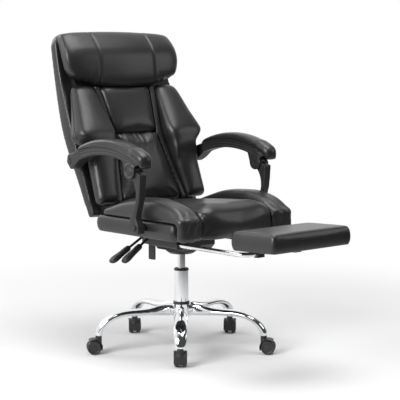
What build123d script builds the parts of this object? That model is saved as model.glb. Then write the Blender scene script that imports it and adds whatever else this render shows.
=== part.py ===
from build123d import *
from math import asin, atan2, cos, degrees, radians, sin
import os

os.makedirs("parts", exist_ok=True)

# Office chair with a pull-out footrest, in millimetres.
# Z points up from the floor, the gas column stands on the Z axis and the chair faces -Y.

# Clearances
RUN = 0.05
FIT = 0.1
SOFT_GAP = 0.3
SWING_GAP = 0.5

# Star base: each leg's bend as turn, share of the middle width, share of the end depth
LEG_COUNT = 5
BASE_TURN = -132
STEM_CIRCLE = 300
LEG_END_Z = 66
LEG_Z = 137
LEG_ROOT = 23
LEG_KNEE = 190
LEG_ROOT_WIDTH = 34
LEG_MID_WIDTH = 46
LEG_END_WIDTH = 38
LEG_ROOT_DEPTH = 33
LEG_MID_DEPTH = 22
LEG_END_DEPTH = 24
LEG_BEND = ((0, 0.9, 0), (30, 1, 0), (55, 1, 0), (75, 0.4, 0.6), (90, 0, 1))
HUB_R = 33
HUB_BOTTOM = 113
HUB_TOP = 160
HUB_EDGE = 5
COLLAR_R = 29
COLLAR_H = 4

# Gas column
TUBE_R = 25
TUBE_FOOT_R = 23
TUBE_WALL = 2
TUBE_BOTTOM = 86
TUBE_TOP = 278
TUBE_FLOOR = 4
BUSH_FLANGE_R = 26
BUSH_FLANGE_H = 8
BUSH_LENGTH = 70
BUSH_CHAMFER = 3
BEARING_R = 15
BEARING_H = 8
ROD_R = 5
ROD_FLANGE_R = 11
ROD_FLANGE_H = 5
ROD_TOP = 300
ROD_TAIL = 7
CLIP_R = 9
CLIP_H = 2.4
CLIP_GROOVE = 1
PISTON_H = 12
CYLINDER_R = 14
CYLINDER_BORE_R = 11.5
CYLINDER_BOTTOM = 150
CYLINDER_TOP = 388
CYLINDER_END = 10
CYLINDER_HEAD = 28
VALVE_R = 3
VALVE_RISE = 6
VALVE_DEPTH = 12
VALVE_BORE = 22

# Casters: turn of each caster's trail from its leg's outward direction
CASTER_TURNS = (180, 8, 30, -30, -8)
WHEEL_R = 25
WHEEL_WIDTH = 17
WHEEL_GAP = 9
WHEEL_EDGE = 4
WHEEL_DISH = 3
WHEEL_RIM = 6
WHEEL_CAP_R = 7
TRAIL = 16
AXLE_R = 3
AXLE_END = 1.5
STEM_R = 5.5
STEM_DEPTH = 18
STEM_SEAT = 13
HOOD_R = 29
HOOD_WALL = 2.5
WHEEL_ROOM = 1.35
HOOD_WIDTH = 46
HOOD_BACK = 52
HOOD_FRONT = 205
HOOD_BOSS_R = 11
HOOD_BOSS_BOTTOM = 36
WEB_WIDTH = 7
WEB_R = 20

# Mechanism under the seat
PLATE_TOP = 424
PLATE_THICK = 6
PLATE_HALF_WIDTH = 105
PLATE_FRONT = -120
PLATE_REAR = 135
PLATE_CORNER = 14
HOUSE_HALF_WIDTH = 72
HOUSE_FRONT = -95
HOUSE_REAR = 128
HOUSE_BOTTOM = 356
HOUSE_STEP_Z = 366
HOUSE_NOSE_Z = 374
HOUSE_WALL = 3
SOCKET_R = 20
SOCKET_TOP = 384
DISH_BOTTOM = 339
DISH_R = 54
DISH_FOOT_R = 42
BOLT_R = 4
BOLT_HEAD_R = 6.5
BOLT_HEAD_H = 5.5
BOLT_X = 85
BOLT_FRONT = -100
BOLT_REAR = 112
BOLT_BITE = 10

# Recline hinge, arm linkage pivots as (y, z)
HINGE = (185, 445)
POST_PIVOT = (-109, 462)
KNUCKLE = (-93, 648)
BACK_PIVOT = (238, 662)
HINGE_PIN_R = 6
HINGE_EYE_R = 14
BRACKET_X = 100
BRACKET_THICK = 6
BRACKET_DEPTH = 14
BRACKET_FRONT = 60
BAR_GAP = 2
BAR_THICK = 6
BAR_EYE_R = 13
BAR_TOP = 180
BAR_WIDTH = 34

# Levers on the sitter's right, grip rings as share of its length, width and thickness
LEVER_PIN_X = -82
LEVER_PIN_Z = 398
LEVER_PIN_R = 3
LEVER_EYE_R = 7
LEVER_EYE_WIDTH = 22
LEVER_ROD_R = 4.5
EAR_THICK = 4
HEIGHT_LEVER_Y = 72
RECLINE_LEVER_Y = 103
HEIGHT_LEVER_LENGTH = 142
RECLINE_LEVER_LENGTH = 168
HEIGHT_LEVER_DIP = 33.5
RECLINE_LEVER_DIP = 28
GRIP_LENGTH = 88
GRIP_BITE = 24
GRIP_ROUND = 0.4
GRIP_RINGS = ((0, 13, 13), (0.3, 18, 13), (0.6, 23, 12), (0.92, 23, 10.8), (1, 17, 7))
RELEASE_WIDTH = 10
RELEASE_THICK = 4.5
RELEASE_GAP = 0.3
TAB_Y = 46
TAB_Z = 378
TAB_STUB_R = 4
TAB_STUB_LENGTH = 28
TAB_WIDTH = 32
TAB_DROP = 58
TAB_THICK = 5

# Seat: rings of a padded box are share of its height and how far the sides draw in
BOARD_THICK = 12
BOARD_INSET = 22
SEAT_HALF_WIDTH = 258
PLINTH_FRONT = -255
PLINTH_REAR = 160
PLINTH_TOP = 482
PLINTH_CORNER = 18
FRONT_ROLL = (7, 14)
PLINTH_RINGS = ((0, 7), (0.3, 1), (0.6, 0), (1, 7))
SKIRT_GAP = 0.5
SKIRT_BOTTOM = 426
SEAT_FRONT = -284
CREST_Y = -225
CREST_Z = 530
SEAT_DIP_Z = 518
SEAT_REAR = 136
SEAT_REAR_Z = 504
PANEL_HALF_WIDTH = 165
PANEL_CROWN = 7
BOLSTER_TAIL = 124
BOLSTER_TAIL_Z = 500
BOLSTER_CREST_Y = -112
BOLSTER_CREST_Z = 552
BOLSTER_TUCK = 11
BOLSTER_PULLS = (11, 1, 0, 4, 19)
BOLSTER_ROLL = (44, 17)
BOLSTER_LIFT = 0.8

# Back: v runs up the back from the foot of the shell, w forwards from its rear face
BACK_FOOT = (216, 468)
BACK_LEAN = 21.5
SHELL_INSET = 10
SHELL_HALF_WIDTH = SEAT_HALF_WIDTH - SHELL_INSET
SHELL_THICK = 26
SHELL_FOOT = -9
SHELL_STRAIGHT = 431
SHELL_BEND_R = 866
SHELL_BEND = 15.75
SHELL_EDGE = 7
SHELL_CORNER = 46
CORE_INSET = 43
CORE_HALF_WIDTH = SHELL_HALF_WIDTH - CORE_INSET
CORE_FOOT = 4
CORE_HEAD = 600
CORE_FRONT = 58
PANEL_TOP = 442
PANEL_SEAM = 274
PANEL_FOOT = 20
PANEL_TOP_HALF = 113
PANEL_SEAM_HALF = 93
PANEL_FOOT_HALF = 135
PANEL_DEPTH = 29
WELT_WIDTH = 22
WELT_DEPTH = 9
PAD_SPACE = 3
WING_TOP_INSET = 40
WING_TOP_OUT = SHELL_HALF_WIDTH - WING_TOP_INSET
WING_REACH = 24
WING_TIP_OUT = SHELL_HALF_WIDTH + WING_REACH
WING_TIP = 261
WING_FOOT = 228
WING_FOOT_OUT = SHELL_HALF_WIDTH - SHELL_INSET
WING_DEPTH_TOP = 26
WING_DEPTH_TIP = 74
SIDE_INSET = 2
SIDE_OUT = SHELL_HALF_WIDTH - SIDE_INSET
SIDE_DEPTH_TOP = 56
SIDE_DEPTH_FOOT = 40
PAD_CORNER = 16
PAD_RINGS = ((0, 6), (0.4, 0), (0.82, 7), (1, 19))
PILLOW_FOOT = 448
PILLOW_HEAD = 656
PILLOW_DEPTH = 68
PILLOW_OVERHANG = 3
PILLOW_HALF_WIDTH = SHELL_HALF_WIDTH + PILLOW_OVERHANG
PILLOW_STATIONS = ((-1, 0.6), (-0.92, 0.81), (-0.494, 0.96), (0, 1), (0.494, 0.96), (0.92, 0.81), (1, 0.6))
PILLOW_BELLY = 0.42
PILLOW_BROW = (0.78, 0.8)
PILLOW_HEM = 0.86

# Arms: outline points as (y, z) steps from the knuckle, the back pivot, the nose and the tail
ARM_STANDOFF = 29
ARM_X = SEAT_HALF_WIDTH + ARM_STANDOFF
POST_THICK = 29
POST_FOOT_Z = 440
POST_HEAD_R = 19
POST_FRONT = -140
POST_HEEL = 30
POST_CALF = 0.7
POST_BOSS_R = 15
POST_BOLT_R = 5
POST_BOLT_HEAD_R = 9
POST_BOLT_HEAD_H = 4
FRAME_WIDTH = 43
FRAME_PEAK = (38, 722)
FRAME_THICK = 28
FRAME_NOSE = (-56, 24)
FRAME_CHIN = (34, -12)
FRAME_TAIL = (-48, 40)
FRAME_NAPE = (-14, -30)
FRAME_FLARE = ((10, 24), (16, -4), (-7, -28), (-24, -20))
KNUCKLE_R = 26
KNUCKLE_RING_R = 19
KNUCKLE_HUB_R = 12
KNUCKLE_RISE = 3
KNUCKLE_SLOT_R = 53
KNUCKLE_SLOT_TOP = 23
KNUCKLE_PIN_R = 5
ARM_BOLT_R = 4.5
ARM_BOLT_BOSS_R = 6.5
ARM_BOLT_HEAD_R = 9.5
ARM_BOLT_HEAD_H = 4
ARM_BOLT_PLAY = 2
ARM_BOLT_RECESS_R = 12.5
ARM_BOLT_RECESS = 6
ARM_PAD_STATIONS = ((-25, 6), (-18, 1.5), (0, 0), (18, 1.5), (25, 6))
ARM_PAD_RISE = 25
ARM_PAD_TIP = 12
ARM_PAD_LIP = (-7, -12)
ARM_PAD_HEEL = (10, 15)

# Footrest
RAIL_R = 8
RAIL_WALL = 1.5
RAIL_X = 150
RAIL_Z = 397
RAIL_REAR = -70
FLIP_Y = -470
RAIL_BEND = 34
GUIDE_FRONT = -163
GUIDE_REAR = -20
GUIDE_WIDTH = 28
GUIDE_FLANGE = 52
GUIDE_FLANGE_THICK = 5
FOOT_TILT = 2
CLIP_X = 85
CLIP_WIDTH = 30
CLIP_HALF = 12
CLIP_ROUND = 9.6
FOOT_BOARD_RISE = 16
FOOT_BOARD_THICK = 8
FOOT_BOARD_INSET = 12
FOOT_WIDTH = 356
FOOT_LENGTH = 194
FOOT_THICK = 60
FOOT_OVERHANG = 32
FOOT_CORNER = 13
FOOT_RINGS = ((0, 4), (0.2, 0), (0.75, 0), (0.95, 4), (1, 16))

# Directions along the back
UP_BACK = Vector(0, sin(radians(BACK_LEAN)), cos(radians(BACK_LEAN)))
OUT_BACK = Vector(0, -cos(radians(BACK_LEAN)), sin(radians(BACK_LEAN)))
BACK_ORIGIN = Vector(0, *BACK_FOOT)
BACK_SIDE = Plane(origin=BACK_ORIGIN, x_dir=UP_BACK, z_dir=(1, 0, 0))
SIDE_PLANE = Plane.YZ


def keep(part, name):
    part.label = name
    export_step(part, f"parts/{name}.step")


def on_back(pivot):
    # Height up the back and depth in front of the shell of a point given as (y, z)
    reach = Vector(0, *pivot) - BACK_ORIGIN
    return reach.dot(UP_BACK), reach.dot(OUT_BACK)


def inset(points, amount):
    # A polygon that runs anticlockwise, with every edge moved inwards by the same amount
    moved = []
    for i, corner in enumerate(points):
        here = Vector(*corner)
        before = (here - Vector(*points[i - 1])).normalized().rotate(Axis.Z, 90)
        after = (Vector(*points[(i + 1) % len(points)]) - here).normalized().rotate(Axis.Z, 90)
        spot = here + (before + after) * (amount / (1 + before.dot(after)))
        moved.append((spot.X, spot.Y))
    return moved


def back_pad(outline, foot_depth, head_depth):
    # A padded panel on the core: tucked in at its base, fullest below the middle, crowned in front
    low = min(v for x, v in outline)
    high = max(v for x, v in outline)
    with BuildPart() as pad:
        for share, pull in PAD_RINGS:
            foot = BACK_ORIGIN + UP_BACK * low + OUT_BACK * (CORE_FRONT + share * foot_depth)
            head = BACK_ORIGIN + UP_BACK * high + OUT_BACK * (CORE_FRONT + share * head_depth)
            along = (head - foot).normalized()
            stretch = (head - foot).length / (high - low)
            section = Plane(origin=foot, x_dir=(1, 0, 0), z_dir=Vector(1, 0, 0).cross(along))
            corners = [(x, (v - low) * stretch) for x, v in inset(outline, pull)]
            with BuildSketch(section):
                with BuildLine():
                    FilletPolyline(*corners, radius=PAD_CORNER - pull / 2, close=True)
                make_face()
        loft()
    return pad.part


# Star base: five tapered legs that run level and then arch down to the casters
bend_out = STEM_CIRCLE - LEG_KNEE
bend_down = LEG_Z - LEG_END_Z
half_width = (LEG_ROOT_WIDTH + LEG_MID_WIDTH) / 2
half_depth = (LEG_ROOT_DEPTH + LEG_MID_DEPTH) / 2
leg_stations = [
    (LEG_ROOT, LEG_Z, 0, LEG_ROOT_WIDTH, LEG_ROOT_DEPTH),
    ((HUB_R + LEG_KNEE) / 2, LEG_Z, 0, half_width, half_depth),
]
for turn, mid_share, end_share in LEG_BEND:
    angle = radians(turn)
    dip = degrees(atan2(bend_down * sin(angle), bend_out * cos(angle)))
    width = LEG_END_WIDTH + (LEG_MID_WIDTH - LEG_END_WIDTH) * mid_share
    depth = LEG_MID_DEPTH + (LEG_END_DEPTH - LEG_MID_DEPTH) * end_share
    leg_stations.append(
        (LEG_KNEE + bend_out * sin(angle), LEG_END_Z + bend_down * cos(angle), dip, width, depth)
    )

with BuildPart() as leg:
    for reach, height, dip, width, depth in leg_stations:
        ahead = (cos(radians(dip)), 0, -sin(radians(dip)))
        with BuildSketch(Plane(origin=(reach, 0, height), x_dir=(0, 1, 0), z_dir=ahead)):
            Ellipse(width / 2, depth / 2)
    loft()

with BuildPart() as base_star:
    with BuildSketch(Plane.XY.offset(HUB_BOTTOM)):
        Circle(HUB_R)
    extrude(amount=HUB_TOP - HUB_BOTTOM)
    chamfer(base_star.faces().sort_by(Axis.Z)[0].edges(), HUB_EDGE)
    with PolarLocations(0, LEG_COUNT, start_angle=BASE_TURN):
        add(leg.part)
    with BuildSketch(Plane.XZ):
        Polygon(
            (0, TUBE_BOTTOM),
            (TUBE_FOOT_R + FIT, TUBE_BOTTOM),
            (TUBE_R + FIT, HUB_TOP),
            (TUBE_R + FIT, HUB_TOP + COLLAR_H),
            (0, HUB_TOP + COLLAR_H),
            align=None,
        )
    revolve(axis=Axis.Z, mode=Mode.SUBTRACT)
    with Locations((0, 0, LEG_END_Z)):
        with PolarLocations(STEM_CIRCLE, LEG_COUNT, start_angle=BASE_TURN):
            Cylinder(
                STEM_R + RUN,
                STEM_DEPTH + SWING_GAP,
                align=(Align.CENTER, Align.CENTER, Align.MIN),
                mode=Mode.SUBTRACT,
            )
keep(base_star.part, "base_star")

# Plastic collar that covers the hub's mouth
with BuildPart() as hub_collar:
    with BuildSketch(Plane.XY.offset(HUB_TOP)):
        Circle(COLLAR_R)
        Circle(TUBE_R + FIT, mode=Mode.SUBTRACT)
    extrude(amount=COLLAR_H)
    chamfer(hub_collar.edges().group_by(Axis.Z)[-1].sort_by(SortBy.LENGTH)[-1], COLLAR_H / 3)
keep(hub_collar.part, "hub_collar")

# Outer tube, tapered where it wedges in the hub
floor_top = TUBE_BOTTOM + TUBE_FLOOR
with BuildPart() as column_tube:
    with BuildSketch(Plane.XZ):
        Polygon(
            (ROD_R + SOFT_GAP, TUBE_BOTTOM),
            (TUBE_FOOT_R, TUBE_BOTTOM),
            (TUBE_R, HUB_TOP),
            (TUBE_R, TUBE_TOP),
            (TUBE_R - TUBE_WALL, TUBE_TOP),
            (TUBE_R - TUBE_WALL, HUB_TOP),
            (TUBE_FOOT_R - TUBE_WALL, floor_top),
            (ROD_R + SOFT_GAP, floor_top),
            align=None,
        )
    revolve(axis=Axis.Z)
keep(column_tube.part, "column_tube")

# Guide bushing: a sleeve in the tube with a flange on its rim
with BuildPart() as column_bushing:
    with BuildSketch(Plane.XZ):
        Polygon(
            (CYLINDER_R + RUN, TUBE_TOP - BUSH_LENGTH),
            (TUBE_R - TUBE_WALL - FIT, TUBE_TOP - BUSH_LENGTH),
            (TUBE_R - TUBE_WALL - FIT, TUBE_TOP),
            (BUSH_FLANGE_R, TUBE_TOP),
            (BUSH_FLANGE_R, TUBE_TOP + BUSH_FLANGE_H - BUSH_CHAMFER),
            (BUSH_FLANGE_R - BUSH_CHAMFER, TUBE_TOP + BUSH_FLANGE_H),
            (CYLINDER_R + RUN, TUBE_TOP + BUSH_FLANGE_H),
            align=None,
        )
    revolve(axis=Axis.Z)
keep(column_bushing.part, "column_bushing")

# Thrust bearing on the tube's floor, with a waist between its two races
with BuildPart() as thrust_bearing:
    with BuildSketch(Plane.XY.offset(floor_top)):
        Circle(BEARING_R)
        Circle(ROD_R + SOFT_GAP, mode=Mode.SUBTRACT)
    extrude(amount=BEARING_H)
    with BuildSketch(Plane.XY.offset(floor_top + BEARING_H / 3)):
        Circle(BEARING_R + RUN)
        Circle(BEARING_R - BEARING_H / 4, mode=Mode.SUBTRACT)
    extrude(amount=BEARING_H / 3, mode=Mode.SUBTRACT)
keep(thrust_bearing.part, "thrust_bearing")

# Piston rod: hangs on its flange, clipped under the tube, with the piston at its head
clip_top = TUBE_BOTTOM - SOFT_GAP
clip_bottom = clip_top - CLIP_H
flange_bottom = floor_top + BEARING_H + RUN
with BuildPart() as piston_rod:
    with BuildSketch(Plane.XZ):
        Polygon(
            (0, TUBE_BOTTOM - ROD_TAIL),
            (ROD_R, TUBE_BOTTOM - ROD_TAIL),
            (ROD_R, clip_bottom),
            (ROD_R - CLIP_GROOVE, clip_bottom),
            (ROD_R - CLIP_GROOVE, clip_top),
            (ROD_R, clip_top),
            (ROD_R, flange_bottom),
            (ROD_FLANGE_R, flange_bottom),
            (ROD_FLANGE_R, flange_bottom + ROD_FLANGE_H),
            (ROD_R, flange_bottom + ROD_FLANGE_H),
            (ROD_R, ROD_TOP - PISTON_H),
            (CYLINDER_BORE_R - RUN, ROD_TOP - PISTON_H),
            (CYLINDER_BORE_R - RUN, ROD_TOP),
            (0, ROD_TOP),
            align=None,
        )
    revolve(axis=Axis.Z)
keep(piston_rod.part, "piston_rod")

with BuildPart() as retaining_clip:
    with BuildSketch(Plane.XY.offset(clip_bottom)):
        Circle(CLIP_R)
        Circle(ROD_R - CLIP_GROOVE, mode=Mode.SUBTRACT)
        with Locations((CLIP_R, 0)):
            Rectangle(2 * CLIP_R, ROD_R, mode=Mode.SUBTRACT)
    extrude(amount=CLIP_H)
keep(retaining_clip.part, "retaining_clip")

# Gas cylinder: slides over the piston and wedges in the mechanism's socket
with BuildPart() as gas_cylinder:
    with BuildSketch(Plane.XZ):
        Polygon(
            (ROD_R + RUN, CYLINDER_BOTTOM),
            (CYLINDER_R, CYLINDER_BOTTOM),
            (CYLINDER_R, CYLINDER_TOP),
            (VALVE_R + RUN, CYLINDER_TOP),
            (VALVE_R + RUN, CYLINDER_TOP - VALVE_BORE),
            (0, CYLINDER_TOP - VALVE_BORE),
            (0, CYLINDER_TOP - CYLINDER_HEAD),
            (CYLINDER_BORE_R, CYLINDER_TOP - CYLINDER_HEAD),
            (CYLINDER_BORE_R, CYLINDER_BOTTOM + CYLINDER_END),
            (ROD_R + RUN, CYLINDER_BOTTOM + CYLINDER_END),
            align=None,
        )
    revolve(axis=Axis.Z)
keep(gas_cylinder.part, "gas_cylinder")

with BuildPart() as valve_pin:
    with BuildSketch(Plane.XY.offset(CYLINDER_TOP - VALVE_DEPTH)):
        Circle(VALVE_R)
    extrude(amount=VALVE_DEPTH + VALVE_RISE)
    fillet(valve_pin.edges().group_by(Axis.Z)[-1], VALVE_R / 3)
keep(valve_pin.part, "valve_pin")

# One caster about its stem, trailing along +X: hood with a middle web, two pins and two wheels
hood_top = LEG_END_Z - SOFT_GAP
with BuildPart() as hood:
    with BuildSketch(Plane.XZ):
        with Locations((TRAIL, WHEEL_R)):
            Circle(HOOD_R)
            Circle(HOOD_R - HOOD_WALL, mode=Mode.SUBTRACT)
            far = 2 * HOOD_R
            Polygon(
                (0, 0),
                (far * cos(radians(HOOD_FRONT)), far * sin(radians(HOOD_FRONT))),
                (-far, -far),
                (far, -far),
                (far, far * sin(radians(HOOD_BACK))),
                (far * cos(radians(HOOD_BACK)), far * sin(radians(HOOD_BACK))),
                align=None,
                mode=Mode.SUBTRACT,
            )
    extrude(amount=HOOD_WIDTH / 2, both=True)
    with BuildSketch(Plane.XY.offset(HOOD_BOSS_BOTTOM)):
        Circle(HOOD_BOSS_R)
    extrude(amount=hood_top - HOOD_BOSS_BOTTOM)
    with Locations((TRAIL, 0, WHEEL_R)):
        Cylinder(WHEEL_R + WHEEL_ROOM, HOOD_WIDTH, rotation=(90, 0, 0), mode=Mode.SUBTRACT)
    with BuildSketch(Plane.XZ):
        with Locations((TRAIL, WHEEL_R)):
            Circle(WEB_R)
        with Locations((TRAIL / 2, WHEEL_R + WEB_R)):
            Rectangle(TRAIL + WEB_R, WEB_R / 2)
        Polygon((0, hood_top - STEM_SEAT), (-WEB_R / 2, WHEEL_R), (TRAIL, WHEEL_R), align=None)
    extrude(amount=WEB_WIDTH / 2, both=True)
    with Locations((0, 0, hood_top - STEM_SEAT)):
        Cylinder(
            STEM_R + FIT,
            STEM_SEAT + COLLAR_H,
            align=(Align.CENTER, Align.CENTER, Align.MIN),
            mode=Mode.SUBTRACT,
        )
    with Locations((TRAIL, 0, WHEEL_R)):
        Cylinder(AXLE_R + FIT, WEB_WIDTH, rotation=(90, 0, 0), mode=Mode.SUBTRACT)

wheel_in = WHEEL_GAP / 2
wheel_out = wheel_in + WHEEL_WIDTH
axle_half = wheel_out - WHEEL_DISH - AXLE_END
stem_length = LEG_END_Z + STEM_DEPTH - hood_top + STEM_SEAT
with BuildPart() as pins:
    with Locations((0, 0, hood_top - STEM_SEAT)):
        Cylinder(STEM_R, stem_length, align=(Align.CENTER, Align.CENTER, Align.MIN))
    with Locations((TRAIL, 0, WHEEL_R)):
        Cylinder(AXLE_R, 2 * axle_half, rotation=(90, 0, 0))

with BuildPart() as wheel:
    with BuildSketch(Plane.XZ):
        Polygon(
            (AXLE_R + RUN, wheel_in),
            (WHEEL_R - WHEEL_EDGE, wheel_in),
            (WHEEL_R, wheel_in + WHEEL_EDGE),
            (WHEEL_R, wheel_out - WHEEL_EDGE),
            (WHEEL_R - WHEEL_EDGE, wheel_out),
            (WHEEL_R - WHEEL_RIM, wheel_out),
            (WHEEL_R - WHEEL_RIM, wheel_out - WHEEL_DISH),
            (WHEEL_CAP_R, wheel_out - WHEEL_DISH),
            (WHEEL_CAP_R, wheel_out - AXLE_END),
            (0, wheel_out - AXLE_END),
            (0, axle_half + AXLE_END / 2),
            (AXLE_R + RUN, axle_half + AXLE_END / 2),
            align=None,
        )
    revolve(axis=Axis.Z)

with BuildPart() as wheels:
    with Locations(Location((TRAIL, 0, WHEEL_R), (90, 0, 0)), Location((TRAIL, 0, WHEEL_R), (-90, 0, 0))):
        add(wheel.part)

for i, turn in enumerate(CASTER_TURNS):
    leg_turn = BASE_TURN + i * 360 / LEG_COUNT
    foot = Vector(STEM_CIRCLE, 0, 0).rotate(Axis.Z, leg_turn)
    place = Location(foot, (0, 0, leg_turn + turn))
    keep(hood.part.moved(place), f"caster_{i + 1}_hood")
    keep(pins.part.moved(place), f"caster_{i + 1}_pins")
    keep(wheels.part.moved(place), f"caster_{i + 1}_wheels")

# Mechanism housing: an open pressed tray with the column socket, a round dish and the lever ears
plate_bottom = PLATE_TOP - PLATE_THICK
house_profile = [
    (HOUSE_FRONT, plate_bottom),
    (HOUSE_FRONT, HOUSE_NOSE_Z),
    (HOUSE_FRONT + HOUSE_NOSE_Z - HOUSE_BOTTOM, HOUSE_BOTTOM),
    (DISH_R - HOUSE_STEP_Z + HOUSE_BOTTOM, HOUSE_BOTTOM),
    (DISH_R, HOUSE_STEP_Z),
    (HOUSE_REAR, HOUSE_STEP_Z),
    (HOUSE_REAR, plate_bottom),
]
ear_edges = (
    HEIGHT_LEVER_Y - LEVER_EYE_WIDTH / 2 - SOFT_GAP - EAR_THICK / 2,
    (HEIGHT_LEVER_Y + RECLINE_LEVER_Y) / 2,
    RECLINE_LEVER_Y + LEVER_EYE_WIDTH / 2 + SOFT_GAP + EAR_THICK / 2,
)
with BuildPart() as mechanism_housing:
    with BuildSketch(SIDE_PLANE):
        Polygon(*house_profile, align=None)
    extrude(amount=HOUSE_HALF_WIDTH, both=True)
    with BuildSketch(SIDE_PLANE):
        room = inset(house_profile, HOUSE_WALL)
        room[0] = (room[0][0], plate_bottom + HOUSE_WALL)
        room[-1] = (room[-1][0], plate_bottom + HOUSE_WALL)
        Polygon(*room, align=None)
    extrude(amount=HOUSE_HALF_WIDTH - HOUSE_WALL, both=True, mode=Mode.SUBTRACT)
    with BuildSketch(Plane.XZ):
        Polygon(
            (0, DISH_BOTTOM),
            (DISH_FOOT_R, DISH_BOTTOM),
            (DISH_R, (DISH_BOTTOM + HOUSE_BOTTOM) / 2),
            (DISH_R, HOUSE_BOTTOM),
            (SOCKET_R, HOUSE_BOTTOM + HOUSE_WALL),
            (SOCKET_R, SOCKET_TOP),
            (0, SOCKET_TOP),
            align=None,
        )
    revolve(axis=Axis.Z)
    with Locations((0, 0, DISH_BOTTOM)):
        Cylinder(
            CYLINDER_R + FIT,
            SOCKET_TOP - DISH_BOTTOM,
            align=(Align.CENTER, Align.CENTER, Align.MIN),
            mode=Mode.SUBTRACT,
        )
    with Locations((-HOUSE_HALF_WIDTH, HEIGHT_LEVER_Y, LEVER_PIN_Z)):
        Box(3 * HOUSE_WALL, LEVER_EYE_WIDTH, 3 * LEVER_EYE_R, mode=Mode.SUBTRACT)
    for y in ear_edges:
        with BuildSketch(Plane.XZ.offset(-y)):
            with Locations((LEVER_PIN_X, LEVER_PIN_Z)):
                Circle(LEVER_EYE_R)
                Circle(LEVER_PIN_R + FIT, mode=Mode.SUBTRACT)
            with Locations(((LEVER_PIN_X + LEVER_PIN_R + FIT - HOUSE_HALF_WIDTH) / 2, LEVER_PIN_Z)):
                Rectangle(HOUSE_HALF_WIDTH + LEVER_PIN_X + LEVER_PIN_R + FIT, 2 * LEVER_EYE_R)
        extrude(amount=EAR_THICK / 2, both=True)
    with BuildSketch(SIDE_PLANE.offset(-HOUSE_HALF_WIDTH - TAB_STUB_LENGTH)):
        with Locations((TAB_Y, TAB_Z)):
            Circle(TAB_STUB_R)
    extrude(amount=TAB_STUB_LENGTH)
keep(mechanism_housing.part, "mechanism_housing")

# Seat plate with the two rear hinge brackets welded under it
bolt_spots = ((BOLT_X, BOLT_FRONT), (-BOLT_X, BOLT_FRONT), (BOLT_X, BOLT_REAR), (-BOLT_X, BOLT_REAR))
with BuildPart() as seat_plate:
    with BuildSketch(Plane.XY.offset(plate_bottom)):
        with Locations((0, (PLATE_FRONT + PLATE_REAR) / 2)):
            RectangleRounded(2 * PLATE_HALF_WIDTH, PLATE_REAR - PLATE_FRONT, PLATE_CORNER)
        with Locations(*bolt_spots):
            Circle(BOLT_R + FIT, mode=Mode.SUBTRACT)
    extrude(amount=PLATE_THICK)
    for x in (BRACKET_X - BRACKET_THICK, -BRACKET_X):
        with BuildSketch(SIDE_PLANE.offset(x)):
            Polygon(
                (BRACKET_FRONT, plate_bottom),
                (BRACKET_FRONT + BRACKET_DEPTH, plate_bottom - BRACKET_DEPTH),
                (HINGE[0], plate_bottom - BRACKET_DEPTH / 2),
                (HINGE[0] + HINGE_EYE_R, HINGE[1]),
                (HINGE[0] - HINGE_EYE_R, HINGE[1]),
                (HINGE[0] - 2 * HINGE_EYE_R, plate_bottom),
                align=None,
            )
            with Locations(HINGE):
                Circle(HINGE_EYE_R)
                Circle(HINGE_PIN_R + FIT, mode=Mode.SUBTRACT)
        extrude(amount=BRACKET_THICK)
keep(seat_plate.part, "seat_plate")

# Pivot pins that stay with the seat: the recline shaft and the levers' common pin
bar_in = BRACKET_X + BAR_GAP
shaft_half = bar_in + BAR_THICK + BAR_GAP
with BuildPart() as pivot_pins:
    with BuildSketch(SIDE_PLANE.offset(-shaft_half)):
        with Locations(HINGE):
            Circle(HINGE_PIN_R)
    extrude(amount=2 * shaft_half)
    with BuildSketch(Plane.XZ.offset(-ear_edges[-1] - EAR_THICK)):
        with Locations((LEVER_PIN_X, LEVER_PIN_Z)):
            Circle(LEVER_PIN_R)
    extrude(amount=ear_edges[-1] - ear_edges[0] + 2 * EAR_THICK)
keep(pivot_pins.part, "pivot_pins")


# Levers: a steel rod with an eye on the common pin, and a flat plastic grip pushed on its end
def lever_plane(y, dip, reach):
    away = Vector(-cos(radians(dip)), 0, -sin(radians(dip)))
    return Plane(origin=Vector(LEVER_PIN_X, y, LEVER_PIN_Z) + away * reach, x_dir=(0, 1, 0), z_dir=away)


def lever_rod(y, dip, length):
    with BuildPart() as rod:
        with BuildSketch(Plane.XZ.offset(-y)):
            with Locations((LEVER_PIN_X, LEVER_PIN_Z)):
                Circle(LEVER_EYE_R)
        extrude(amount=LEVER_EYE_WIDTH / 2, both=True)
        with BuildSketch(lever_plane(y, dip, 0)):
            Circle(LEVER_ROD_R)
        extrude(amount=length - GRIP_LENGTH + GRIP_BITE)
        with BuildSketch(Plane.XZ.offset(-y)):
            with Locations((LEVER_PIN_X, LEVER_PIN_Z)):
                Circle(LEVER_PIN_R + RUN)
        extrude(amount=LEVER_EYE_WIDTH, both=True, mode=Mode.SUBTRACT)
    return rod


def lever_grip(y, dip, length):
    with BuildPart() as grip:
        for share, width, thick in GRIP_RINGS:
            with BuildSketch(lever_plane(y, dip, length - GRIP_LENGTH + share * GRIP_LENGTH)):
                RectangleRounded(width, thick, GRIP_ROUND * thick)
        loft()
        with BuildSketch(lever_plane(y, dip, length - GRIP_LENGTH)):
            Circle(LEVER_ROD_R + FIT)
        extrude(amount=GRIP_BITE + FIT, mode=Mode.SUBTRACT)
    return grip.part


recline_lever = lever_rod(RECLINE_LEVER_Y, RECLINE_LEVER_DIP, RECLINE_LEVER_LENGTH)
keep(recline_lever.part, "recline_lever")
keep(lever_grip(RECLINE_LEVER_Y, RECLINE_LEVER_DIP, RECLINE_LEVER_LENGTH), "recline_lever_grip")

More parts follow.
